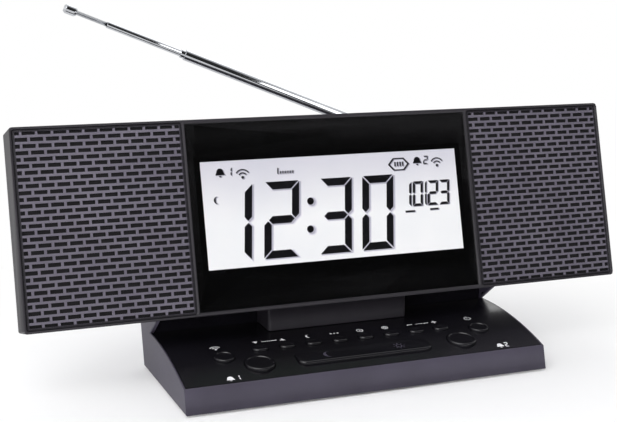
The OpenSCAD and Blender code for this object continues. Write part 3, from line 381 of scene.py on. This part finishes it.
def digit(value, x, y, w, h, t, slant=0.0, gap=0.12):
    """A seven-segment figure with strokes of width t, leaning by slant, its lower left corner at x, y."""
    m, g = h / 2, gap * t
    shapes = {
        "a": [(g, h), (w - g, h), (w - t - g, h - t), (t + g, h - t)],
        "d": [(t + g, t), (w - t - g, t), (w - g, 0), (g, 0)],
        "g": [(t / 2 + g, m), (t + g, m + t / 2), (w - t - g, m + t / 2), (w - t / 2 - g, m),
              (w - t - g, m - t / 2), (t + g, m - t / 2)],
        "f": [(0, h - g), (t, h - t - g), (t, m + t / 2 + g), (t / 2, m + g), (0, m + t / 2 + g)],
        "e": [(0, g), (0, m - t / 2 - g), (t / 2, m - g), (t, m - t / 2 - g), (t, t + g)],
    }
    shapes["b"] = [(w - u, v) for u, v in shapes["f"]]
    shapes["c"] = [(w - u, v) for u, v in shapes["e"]]
    return [[(x + u + slant * v, y + v) for u, v in shapes[k]] for k in lit_segments[value]]


alarm_x, alarm_back = 62.6, 2.0
source_x, source_back = -61.5, 27.6
power_x, power_back = 60.3, 30.2
arrow_back, sign_back = 30.2, 30.4
small_pitch, sign_half = 12.3, 1.25
row = [small_pitch * (i - 3.5) for i in range(8)]

deck_signs = []
for side, number in ((-1, "1"), (1, "2")):
    deck_signs += bell(side * alarm_x, alarm_back, 3.6)
    deck_signs += digit(number, side * alarm_x + 2.4, alarm_back + 0.2, 1.8, 3.2, 0.5)
deck_signs += waves(source_x, source_back, 3.2)
deck_signs += ring(power_x, power_back, 1.25, 1.65, 120, 420)
deck_signs += bar(power_x, power_back, power_x, power_back + 2.0, 0.45)
for x, way in ((row[0], 1), (row[1], -1)):
    deck_signs.append([(x - way * 1.3, arrow_back + way * 0.9), (x, arrow_back - way * 1.1),
                       (x + way * 1.3, arrow_back + way * 0.9)])
deck_signs += bar(row[0] + 2.65, arrow_back, row[1] - 2.65, arrow_back, 0.4)
deck_signs += crescent(row[2] + 0.15, sign_back, 1.5)
for x in (row[3] - 1.6, row[3], row[3] + 1.6):
    deck_signs += disc(x, sign_back, 0.5)
deck_signs += ring(row[4], sign_back, 1.2, 1.55)
deck_signs += bar(row[4], sign_back - 0.1, row[4], sign_back + 0.9, 0.35)
deck_signs += bar(row[4] - 0.05, sign_back, row[4] + 0.75, sign_back, 0.35)
deck_signs += ring(row[5], sign_back, 1.2, 1.55)
deck_signs += ring(row[5], sign_back, 0.4, 0.65, tall=1.9)
deck_signs += bar(row[5] - sign_half, sign_back, row[5] + sign_half, sign_back, 0.3)
deck_signs += bar(row[6] - sign_half, sign_back, row[6] + sign_half, sign_back, 0.6)
deck_signs += bar(row[6] + 2.85, sign_back, row[7] - 2.85, sign_back, 0.4)
deck_signs += bar(row[7] - sign_half, sign_back, row[7] + sign_half, sign_back, 0.6)
for start, end in ((0.35, sign_half), (-sign_half, -0.35)):
    deck_signs += bar(row[7], sign_back + start, row[7], sign_back + end, 0.6)

# Pad print lies so thin that the black shows through it a little, in specks of about 0.9 mm.
white_ink, tree, shader, place = new_material("white_pad_print_ink", IOR=1.5, Roughness=0.45)
worn = add_node(tree, "TexNoise", {"Vector": place, "Scale": 1 / (0.9 * mm), "Detail": 3.0})
tone = add_node(tree, "ValToRGB", {"Fac": worn.outputs["Fac"]}, stops=[(0.3, "#c9c9cd"), (0.6, "#f2f2f4")])
feed(shader, Base_Color=tone.outputs["Color"])


def film(name, faces, put, material, body="housing"):
    """A thin flat piece from faces in millimetres, each corner placed by put."""
    mesh = bpy.data.meshes.new(name)
    points = [put(*corner) for face in faces for corner in face]
    runs, first = [], 0
    for face in faces:
        runs.append(list(range(first, first + len(face))))
        first += len(face)
    mesh.from_pydata(points, [], runs)
    mesh.materials.append(material)
    piece = bpy.data.objects.new(name, mesh)
    bpy.context.scene.collection.objects.link(piece)
    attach(piece, body)
    return piece


def printed_on(mesh):
    """Places a corner on top of a piece of the deck, found from 20 mm above it, and 0.03 mm proud."""
    above, proud = 20, 0.03 * mm
    skin = BVHTree.FromPolygons([v.co for v in mesh.vertices], [p.vertices for p in mesh.polygons])
    return lambda x, back: skin.ray_cast(on_deck(x, back, above), -deck_up)[0] + deck_up * proud


film("deck_print", deck_signs, printed_on(frame["nodes"]["control_panel"].data), white_ink)
moon_x, sun_x, bar_back, rays = -16.5, 16.5, 11.3, 8
bar_signs = crescent(moon_x, bar_back, 2.4) + ring(sun_x, bar_back, 1.0, 1.5)
for i in range(rays):
    u, v = cos(i * 2 * pi / rays), sin(i * 2 * pi / rays)
    bar_signs += bar(sun_x + 1.9 * u, bar_back + 1.9 * v, sun_x + 2.7 * u, bar_back + 2.7 * v, 0.4)
film("snooze_marks", bar_signs, printed_on(caps["snooze_key"].data), satin_abs, "snooze_button")


# Front cabinet and rear cover of the head: black ABS with a finer satin grain; the post that carries it gets
# the same, as painted shade.
# The cabinet's rim and its two ribs frame the lens and the grilles as thin lines, bright on their edges.
# The grain of about 0.3 mm is drawn at 0.6 mm so that it shows.
black_abs, tree, shader, place = new_material("satin_black_ABS", IOR=1.53)
cloud = add_node(tree, "TexNoise", {"Vector": place, "Scale": 1 / (22 * mm), "Detail": 3.0})
tone = add_node(tree, "ValToRGB", {"Fac": cloud.outputs["Fac"]}, stops=[(0.3, "#1d1b20"), (0.7, "#242127")])
grain = add_node(tree, "TexNoise", {"Vector": place, "Scale": 1 / (0.6 * mm), "Detail": 2.0})
rough = add_node(tree, "MapRange", {"Value": grain.outputs["Fac"], "To Min": 0.52, "To Max": 0.64})
relief = add_node(tree, "Bump", {"Height": grain.outputs["Fac"], "Strength": 0.2, "Distance": 0.05 * mm})
feed(shader, Base_Color=tone.outputs["Color"], Roughness=rough.outputs["Result"],
     Normal=relief.outputs["Normal"])
# Painted shade: the post takes this darker ABS rather than the base's grey, for the shade it stands in under
# the head.
eased("neck_post", "housing", black_abs, 0.4 * mm)
eased("front_cabinet", "housing", black_abs, 0.5 * mm, thinnest=1.1 * mm)
eased("rear_cover", "housing", black_abs, 0.4 * mm)


# Grilles: steel sheet pierced with a brick pattern of slots, then spray painted satin grey.
# Paint rounds the slots' edges and leaves a faint orange peel about 1.5 mm across. A painted shade darkens
# the border under the rim.
lean, head_front, head_height = radians(14.2), -2.7, 31.8


def on_head(x, up, behind):
    """A place on the head, in millimetres across, up its face and behind it, as a point in metres."""
    y, z = behind * cos(lean) + up * sin(lean), up * cos(lean) - behind * sin(lean)
    return Vector((x, head_front + y, head_height + z)) * mm


def in_head(point):
    """A point in metres as its places across the head and up its face, in millimetres."""
    y, z = point.y / mm - head_front, point.z / mm - head_height
    return point.x / mm, y * sin(lean) + z * cos(lean)


grille_spans = {}
for name in ("grille_left", "grille_right"):
    spots = [in_head(v.co) for v in frame["nodes"][name].data.vertices]
    grille_spans[name] = [(min(p[i] for p in spots), max(p[i] for p in spots)) for i in (0, 1)]

grille_paint, tree, shader, place = new_material("satin_grey_paint_on_steel", IOR=1.5)
peel = add_node(tree, "TexNoise", {"Vector": place, "Scale": 1 / (1.5 * mm), "Detail": 2.0})
patch = add_node(tree, "TexNoise", {"Vector": place, "Scale": 1 / (30 * mm), "Detail": 2.0})
tone = add_node(tree, "ValToRGB", {"Fac": patch.outputs["Fac"]}, stops=[(0.3, "#57535e"), (0.7, "#615d68")])
split = add_node(tree, "SeparateXYZ", {"Vector": place})
across = add_node(tree, "Math", {0: split.outputs["X"]}, operation="ABSOLUTE")
up = add_node(tree, "VectorMath", {0: place, 1: (0, sin(lean), cos(lean))}, operation="DOT_PRODUCT")
foot = head_front * sin(lean) + head_height * cos(lean)
(x_start, x_end), (up_start, up_end) = grille_spans["grille_right"]
# Painted shade: the paint turns dark within about 1 mm of the sheet's edges, where the cabinet's rim shades
# it.
insets = []
for start, end, way in ((x_start, x_end, across), (foot + up_start, foot + up_end, up)):
    middle, half = (start + end) / 2 * mm, (end - start) / 2 * mm
    off = add_node(tree, "Math", {0: way.outputs["Value"], 1: middle}, operation="SUBTRACT")
    off = add_node(tree, "Math", {0: off.outputs["Value"]}, operation="ABSOLUTE")
    insets.append(add_node(tree, "Math", {0: half, 1: off.outputs["Value"]}, operation="SUBTRACT"))
inset = add_node(tree, "Math", {i: n.outputs["Value"] for i, n in enumerate(insets)}, operation="MINIMUM")
clear_of_rim_shade = add_node(tree, "MapRange", {"Value": inset.outputs["Value"], "From Min": 0.6 * mm,
                                     "From Max": 1.1 * mm})
# 1b191e is the painted shade along the border; the grey tone lies inside it.
rim_shade_mix = add_node(tree, "Mix", {0: clear_of_rim_shade.outputs["Result"], 6: linear("#1b191e"),
                                  7: tone.outputs["Color"]}, data_type="RGBA")
rough = add_node(tree, "MapRange", {"Value": peel.outputs["Fac"], "To Min": 0.34, "To Max": 0.46})
relief = add_node(tree, "Bump", {"Height": peel.outputs["Fac"], "Strength": 0.2, "Distance": 0.06 * mm})
feed(shader, Base_Color=rim_shade_mix.outputs[2], Roughness=rough.outputs["Result"],
     Normal=relief.outputs["Normal"])
for name in grille_spans:
    eased(name, "housing", grille_paint, 0.12 * mm, 1)


# Cloth behind the grilles: thin black polyester, glued to the back of each sheet against dust.
# Its threads lie 0.4 mm apart, drawn at 0.8 mm so that the dull weave shows through the slots.
# It is kept darker than such cloth is, partly as painted shade inside the slots.
cloth_margin, cloth_depth, cells = 1.0, 1.16, 12
thread = band_scale(0.8 * mm)
cloth_and_slot_shade, tree, shader, place = new_material("woven_black_polyester_and_slot_shade", IOR=1.45, Roughness=0.8,
                                                 Sheen_Weight=0.05)
weft = add_node(tree, "TexWave", {"Vector": place, "Scale": thread}, bands_direction="X")
warp = add_node(tree, "TexWave", {"Vector": place, "Scale": thread}, bands_direction="Z")
weave = add_node(tree, "Math", {0: weft.outputs["Fac"], 1: warp.outputs["Fac"]}, operation="MULTIPLY")
# Painted shade: this near-black tone, darker than real cloth, stands in for the shade deep in the slots.
tone = add_node(tree, "ValToRGB", {"Fac": weave.outputs["Value"]}, stops=[(0.0, "#060507"), (0.6, "#0d0c10")])
relief = add_node(tree, "Bump", {"Height": weave.outputs["Value"], "Strength": 0.5, "Distance": 0.1 * mm})
feed(shader, Base_Color=tone.outputs["Color"], Normal=relief.outputs["Normal"])
for name, spans in grille_spans.items():
    (x0, x1), (up0, up1) = ((start + cloth_margin, end - cloth_margin) for start, end in spans)
    grid = [[(x0 + (x1 - x0) * (i + u) / cells, up0 + (up1 - up0) * (j + v) / cells) for u, v in
             ((0, 0), (1, 0), (1, 1), (0, 1))] for i in range(cells) for j in range(cells)]
    cloth = film(name + "_cloth", grid, lambda x, up: on_head(x, up, cloth_depth), cloth_and_slot_shade)


# Drivers: black painted steel baskets, paper cones and ferrite magnets, screwed behind the baffle.
# They show only as dark shapes through the slots. Paint on steel has a faint orange peel about 1.5 mm across.
driver_paint, tree, shader, place = new_material("black_paint_on_steel", IOR=1.5)
peel = add_node(tree, "TexNoise", {"Vector": place, "Scale": 1 / (1.5 * mm), "Detail": 2.0})
tone = add_node(tree, "ValToRGB", {"Fac": peel.outputs["Fac"]}, stops=[(0.3, "#101011"), (0.7, "#17171a")])
rough = add_node(tree, "MapRange", {"Value": peel.outputs["Fac"], "To Min": 0.4, "To Max": 0.55})
feed(shader, Base_Color=tone.outputs["Color"], Roughness=rough.outputs["Result"])
dress(driver_paint, "basket_left", "basket_right")
# Cone paper is felted from black fibres, so it is dull and a little rough.
cone_paper, tree, shader, place = new_material("pressed_cone_paper", IOR=1.45, Roughness=0.85)
fibre = add_node(tree, "TexNoise", {"Vector": place, "Scale": 1 / (0.6 * mm), "Detail": 5.0})
tone = add_node(tree, "ValToRGB", {"Fac": fibre.outputs["Fac"]}, stops=[(0.35, "#0a0a0b"), (0.7, "#141415")])
relief = add_node(tree, "Bump", {"Height": fibre.outputs["Fac"], "Strength": 0.5, "Distance": 0.1 * mm})
feed(shader, Base_Color=tone.outputs["Color"], Normal=relief.outputs["Normal"])
dress(cone_paper, "cone_left", "cone_right")
# Ferrite is ground after firing, which leaves a dull grey with grit of about 0.8 mm.
ground_ferrite, tree, shader, place = new_material("ground_ferrite", Metallic=0.3)
grit = add_node(tree, "TexNoise", {"Vector": place, "Scale": 1 / (0.8 * mm), "Detail": 4.0})
tone = add_node(tree, "ValToRGB", {"Fac": grit.outputs["Fac"]}, stops=[(0.3, "#2c2c2e"), (0.7, "#48484b")])
rough = add_node(tree, "MapRange", {"Value": grit.outputs["Fac"], "To Min": 0.5, "To Max": 0.75})
feed(shader, Base_Color=tone.outputs["Color"], Roughness=rough.outputs["Result"])
dress(ground_ferrite, "magnet_left", "magnet_right")


# Display: clear acrylic lens, a border printed black behind it, the liquid crystal glass and its diffuser.
# The glass is lit from behind, a little brighter towards its lower edge.
# Cast acrylic is as clear as glass, with the faintest haze.
clear_acrylic, tree, shader, place = new_material("cast_clear_acrylic", IOR=1.49, Transmission_Weight=1.0)
haze = add_node(tree, "TexNoise", {"Vector": place, "Scale": 1 / (20 * mm), "Detail": 2.0})
tone = add_node(tree, "ValToRGB", {"Fac": haze.outputs["Fac"]}, stops=[(0.3, "#fafbfc"), (0.7, "#ffffff")])
rough = add_node(tree, "MapRange", {"Value": haze.outputs["Fac"], "To Min": 0.0, "To Max": 0.02})
feed(shader, Base_Color=tone.outputs["Color"], Roughness=rough.outputs["Result"])
dress(clear_acrylic, "display_lens")

# Ink that is bonded to the lens has no surface of its own to shine, so it is the deepest black here.
# The screen's mesh leaves faint marks of about 1 mm.
black_print, tree, shader, place = new_material("black_screen_print", Roughness=0.6, Specular_IOR_Level=0.0)
marks = add_node(tree, "TexNoise", {"Vector": place, "Scale": 1 / (1 * mm), "Detail": 2.0})
tone = add_node(tree, "ValToRGB", {"Fac": marks.outputs["Fac"]}, stops=[(0.3, "#030304"), (0.7, "#060607")])
feed(shader, Base_Color=tone.outputs["Color"])
dress(black_print, "lens_border")


def lit_material(name, low, high, strength):
    """A surface of the lit display, from one colour at its lower edge to another at its upper edge."""
    glow_low, glow_high, cloud_lift = 18, 66, 12 * mm
    made, tree, shader, place = new_material(name, IOR=1.5, Roughness=0.25, Emission_Strength=strength)
    split = add_node(tree, "SeparateXYZ", {"Vector": place})
    cloudy = add_node(tree, "TexNoise", {"Vector": place, "Scale": 1 / (50 * mm), "Detail": 1.0})
    lift = add_node(tree, "Math", {0: cloudy.outputs["Fac"], 1: cloud_lift, 2: split.outputs["Z"]},
                    operation="MULTIPLY_ADD")
    height = add_node(tree, "MapRange", {"Value": lift.outputs["Value"],
                                         "From Min": on_head(0, glow_low, 0).z + cloud_lift / 2,
                                         "From Max": on_head(0, glow_high, 0).z + cloud_lift / 2})
    tone = add_node(tree, "ValToRGB", {"Fac": height.outputs["Result"]},
                    stops=[(0.0, low), (0.4, low), (1.0, high)])
    dim = add_node(tree, "ValToRGB", {"Fac": cloudy.outputs["Fac"]},
                   stops=[(0.0, "#2b2b2e"), (1.0, "#333337")])
    feed(shader, Emission_Color=tone.outputs["Color"], Base_Color=dim.outputs["Color"])
    return made


dress(lit_material("liquid_crystal_glass", "#fdfdff", "#dad8e3", 1.0), "display_glass")
dress(lit_material("milky_diffuser_acrylic", "#f4f4f8", "#e8e8ee", 0.6), "backlight_diffuser")


# What the display shows: slanted seven-segment figures and signs, dark where the crystal turns the light.
# Each casts a soft shade on the reflector behind the glass, to the right and below.
window_low, slant = 19.0, 0.095
time_low, time_tall, time_stroke = 2.8, 33.4, 3.4
date_low, date_tall, date_stroke, date_divider = 20.9, 11.4, 1.25, 0.9


def on_glass(depth):
    """Places a corner across and up from the window's lower edge, at a depth, all in millimetres."""
    return lambda x, up: on_head(x, window_low + up, depth)


figures = []
for value, x, wide in (("1", -57.0, 15.4), ("2", -36.0, 16.2), ("3", -10.0, 15.4), ("0", 10.5, 15.4)):
    figures += digit(value, x, time_low, wide, time_tall, time_stroke, slant)
figures += disc(-12.2, 26.6, 1.6) + disc(-13.4, 14.3, 1.6)
fine_figures = []
for value, x, wide, stroke in (("1", 31.6, 5.2, date_stroke), ("0", 37.4, 5.2, date_stroke),
                               ("1", 39.3, 5.2, date_divider), ("2", 44.9, 5.5, date_stroke),
                               ("3", 50.8, 5.4, date_stroke)):
    fine_figures += digit(value, x, date_low, wide, date_tall, stroke, slant)
fine_figures += bar(33.5, 18.8, 38.3, 18.8, 0.9) + bar(46.0, 19.1, 50.4, 19.1, 0.9)
for value, bell_x, digit_x, wave_x, up in (("1", -52.6, -49.8, -42.5, 39.5), ("2", 41.6, 44.6, 51.6, 39.7)):
    fine_figures += bell(bell_x, up, 4.4) + digit(value, digit_x, up + 0.2, 2.4, 3.9, 0.6, slant)
    fine_figures += waves(wave_x, up - 0.6, 4.0)
meter_left, meter_low, meter_pitch = -26.3, 39.5, 1.15
for i, tall in enumerate((2.6, 1.2, 1.2, 1.2, 1.2, 1.2, 1.2)):
    x = meter_left + i * meter_pitch
    fine_figures += bar(x, meter_low, x + 0.2, meter_low + tall, 0.6)
fine_figures += crescent(-54.8, 29.7, 1.6)
fine_figures += ring(32.2, 40.6, 4.3, 5.4, steps=6, tall=0.62)
for x in (30.4, 31.7, 33.0, 34.3):
    fine_figures += bar(x, 39.7, x, 41.7, 0.75)


def grown(faces, by, dx, dy):
    """Each face moved, with its corners pushed out from its middle by a length."""
    out = []
    for face in faces:
        cx, cy = sum(p[0] for p in face) / len(face), sum(p[1] for p in face) / len(face)
        moved = []
        for x, y in face:
            a = atan2(y - cy, x - cx)
            moved.append((x + by * cos(a) + dx, y + by * sin(a) + dy))
        out.append(moved)
    return out


# Turned crystal is nearly black, a little uneven over about 10 mm.
dark_crystal, tree, shader, place = new_material("turned_liquid_crystal", IOR=1.5, Roughness=0.3)
uneven = add_node(tree, "TexNoise", {"Vector": place, "Scale": 1 / (10 * mm), "Detail": 2.0})
tone = add_node(tree, "ValToRGB", {"Fac": uneven.outputs["Fac"]}, stops=[(0.3, "#0d0c12"), (0.7, "#15141c")])
feed(shader, Base_Color=tone.outputs["Color"])

shade_low, shade_high = "#bbb9c7", "#a4a2b0"
display = [frame["nodes"][name] for name in
           ("display_lens", "lens_border", "display_glass", "backlight_diffuser")]
for name, faces, depth, material in (
        ("display_shade_wide", grown(figures, 0.75, 0.8, -0.5), 2.475,
         lit_material("crystal_shade_soft", "#e6e4ee", "#c6c4cf", 1.0)),
        ("display_shade", grown(figures, 0.3, 0.6, -0.4), 2.46,
         lit_material("crystal_shade", shade_low, shade_high, 1.0)),
        ("display_fine_shade", grown(fine_figures, 0.15, 0.35, -0.25), 2.46,
         lit_material("crystal_fine_shade", shade_low, shade_high, 1.0)),
        ("display_figures", figures, 2.44, dark_crystal),
        ("display_fine_figures", fine_figures, 2.44, dark_crystal)):
    display.append(film(name, faces, on_glass(depth), material))
# The deck shows no image of the lit display, so reflections leave it out.
for piece in display:
    piece.visible_glossy = False


# Antenna: four telescoping brass tubes, a swivel and a pin, all nickel and chrome plated.
# Drawn tube is mirror bright, a little cloudy over about 6 mm, with a slightly rounded mouth.
chrome_plate, tree, shader, place = new_material("chrome_plated_brass", Metallic=1.0)
drawn = add_node(tree, "TexNoise", {"Vector": place, "Scale": 1 / (6 * mm), "Detail": 2.0})
tone = add_node(tree, "ValToRGB", {"Fac": drawn.outputs["Fac"]}, stops=[(0.3, "#b8babe"), (0.7, "#c6c8cc")])
rough = add_node(tree, "MapRange", {"Value": drawn.outputs["Fac"], "To Min": 0.06, "To Max": 0.11})
feed(shader, Base_Color=tone.outputs["Color"], Roughness=rough.outputs["Result"])
for name, body, ease, thinnest in (("antenna_swivel", "swivel", 0.3 * mm, 0.0),
                                   ("antenna_pin", "swivel", 0.2 * mm, 0.0),
                                   ("antenna_outer_tube", "outer_section", 0.12 * mm, 0.26 * mm),
                                   ("antenna_second_tube", "second_section", 0.12 * mm, 0.26 * mm),
                                   ("antenna_third_tube", "third_section", 0.12 * mm, 0.26 * mm),
                                   ("antenna_rod", "rod_section", 0.15 * mm, 0.33 * mm)):
    eased(name, body, chrome_plate, ease, thinnest=thinnest)


# Floor: a plain pale sheet of paper under the radio, wide enough to fill the view.
# It is matt and keeps the radio's soft shadow, and away from the radio it turns to plain white.
floor_radius, white_from = 30000 * mm, 280 * mm
pale_floor, tree, shader, place = new_material("matt_pale_paper", Roughness=0.9)
paper = add_node(tree, "TexNoise", {"Vector": place, "Scale": 1 / (500 * mm), "Detail": 2.0})
tone = add_node(tree, "ValToRGB", {"Fac": paper.outputs["Fac"]}, stops=[(0.3, "#f6f6f7"), (0.7, "#fafafa")])
feed(shader, Base_Color=tone.outputs["Color"])
path = add_node(tree, "LightPath")
shown = add_node(tree, "Math", {0: path.outputs["Is Camera Ray"], 1: path.outputs["Is Glossy Ray"]},
                 operation="ADD")
shown = add_node(tree, "Math", {0: shown.outputs["Value"], 1: path.outputs["Is Transmission Ray"]},
                 operation="ADD", use_clamp=True)
reach = add_node(tree, "VectorMath", {0: place}, operation="LENGTH")
far = add_node(tree, "MapRange", {"Value": reach.outputs["Value"], "From Min": 0.0, "From Max": white_from},
               interpolation_type="SMOOTHSTEP")
share = add_node(tree, "Math", {0: far.outputs["Result"], 1: shown.outputs["Value"]}, operation="MULTIPLY")
white = add_node(tree, "Emission", {"Color": linear("#ffffff"), "Strength": 1.0})
both = add_node(tree, "MixShader", {0: share.outputs["Value"], 1: shader.outputs["BSDF"],
                                    2: white.outputs["Emission"]})
tree.links.new(both.outputs["Shader"], tree.nodes["Material Output"].inputs["Surface"])
shape = bmesh.new()
bmesh.ops.create_circle(shape, cap_ends=True, segments=64, radius=floor_radius)
mesh = bpy.data.meshes.new("floor")
shape.to_mesh(mesh)
shape.free()
mesh.materials.append(pale_floor)
floor = bpy.data.objects.new("floor", mesh)
bpy.context.scene.collection.objects.link(floor)


# Light: a large soft box above and in front, weaker ones on the left and behind, and a small low one
# in front, which reflections leave out so that the lens stays clear.
# The room is white on the left and behind, and dim in front on the right, where the lens looks.
for name, spot, aim, size, watts in (("key", (-0.5, -0.7, 0.9), (0, 0, 0.05), 1.0, 9.5),
                                     ("left_fill", (-1.5, -0.1, 0.6), (0, 0, 0.06), 0.9, 1),
                                     ("front_fill", (-0.45, -0.9, 0.18), (0, 0, 0.04), 0.34, 5.6),
                                     ("back", (0.7, 1.3, 1.2), (0, 0, 0.08), 1.0, 5)):
    lamp = bpy.data.lights.new(name, "AREA")
    lamp.size, lamp.energy = size, watts
    holder = bpy.data.objects.new(name, lamp)
    holder.location = spot
    holder.rotation_euler = (Vector(aim) - Vector(spot)).to_track_quat("-Z", "Y").to_euler()
    holder.visible_glossy = name != "front_fill"
    bpy.context.scene.collection.objects.link(holder)
dim_side = (0.374, -0.927, 0.0)
room = bpy.data.worlds.new("room")
room.use_nodes = True
tree = room.node_tree
path = add_node(tree, "LightPath")
facing = add_node(tree, "VectorMath", {0: add_node(tree, "TexCoord").outputs["Generated"], 1: dim_side},
                  operation="DOT_PRODUCT")
turn = add_node(tree, "MapRange", {"Value": facing.outputs["Value"], "From Min": -1.0})
dome = add_node(tree, "ValToRGB", {"Fac": turn.outputs["Result"]},
                stops=[(0.0, "#f3f3f6"), (0.56, "#e7e7ea"), (0.8, "#383838"), (1.0, "#303030")])
bright = add_node(tree, "MapRange", {"Value": turn.outputs["Result"], "From Min": 0.72, "From Max": 0.5})
mirrored = add_node(tree, "Math", {0: path.outputs["Is Glossy Ray"], 1: path.outputs["Is Transmission Ray"]},
                    operation="ADD")
shown = add_node(tree, "Math", {0: mirrored.outputs["Value"], 1: bright.outputs["Result"],
                                2: path.outputs["Is Camera Ray"]}, operation="MULTIPLY_ADD", use_clamp=True)
seen = add_node(tree, "Mix", {0: shown.outputs["Value"], 6: dome.outputs["Color"], 7: linear("#ffffff")},
                data_type="RGBA")
tree.links.new(seen.outputs[2], tree.nodes["Background"].inputs["Color"])
bpy.context.scene.world = room
bpy.context.scene.view_settings.view_transform = "Standard"


# Camera: to the left of the radio and a little above it, as in the photograph.
# The lens is long, about 69 mm on a 36 mm wide frame.
look_down, look_right = radians(10.68), radians(21.42)
lens = bpy.data.cameras.new("camera")
lens.lens, lens.sensor_width = 69.5, 36.0
lens.clip_start, lens.clip_end = 0.01, 100.0
camera = bpy.data.objects.new("camera", lens)
camera.location = (-0.20189, -0.47068, 0.16860)
camera.rotation_euler = (pi / 2 - look_down, 0, -look_right)
bpy.context.scene.collection.objects.link(camera)
bpy.context.scene.camera = camera
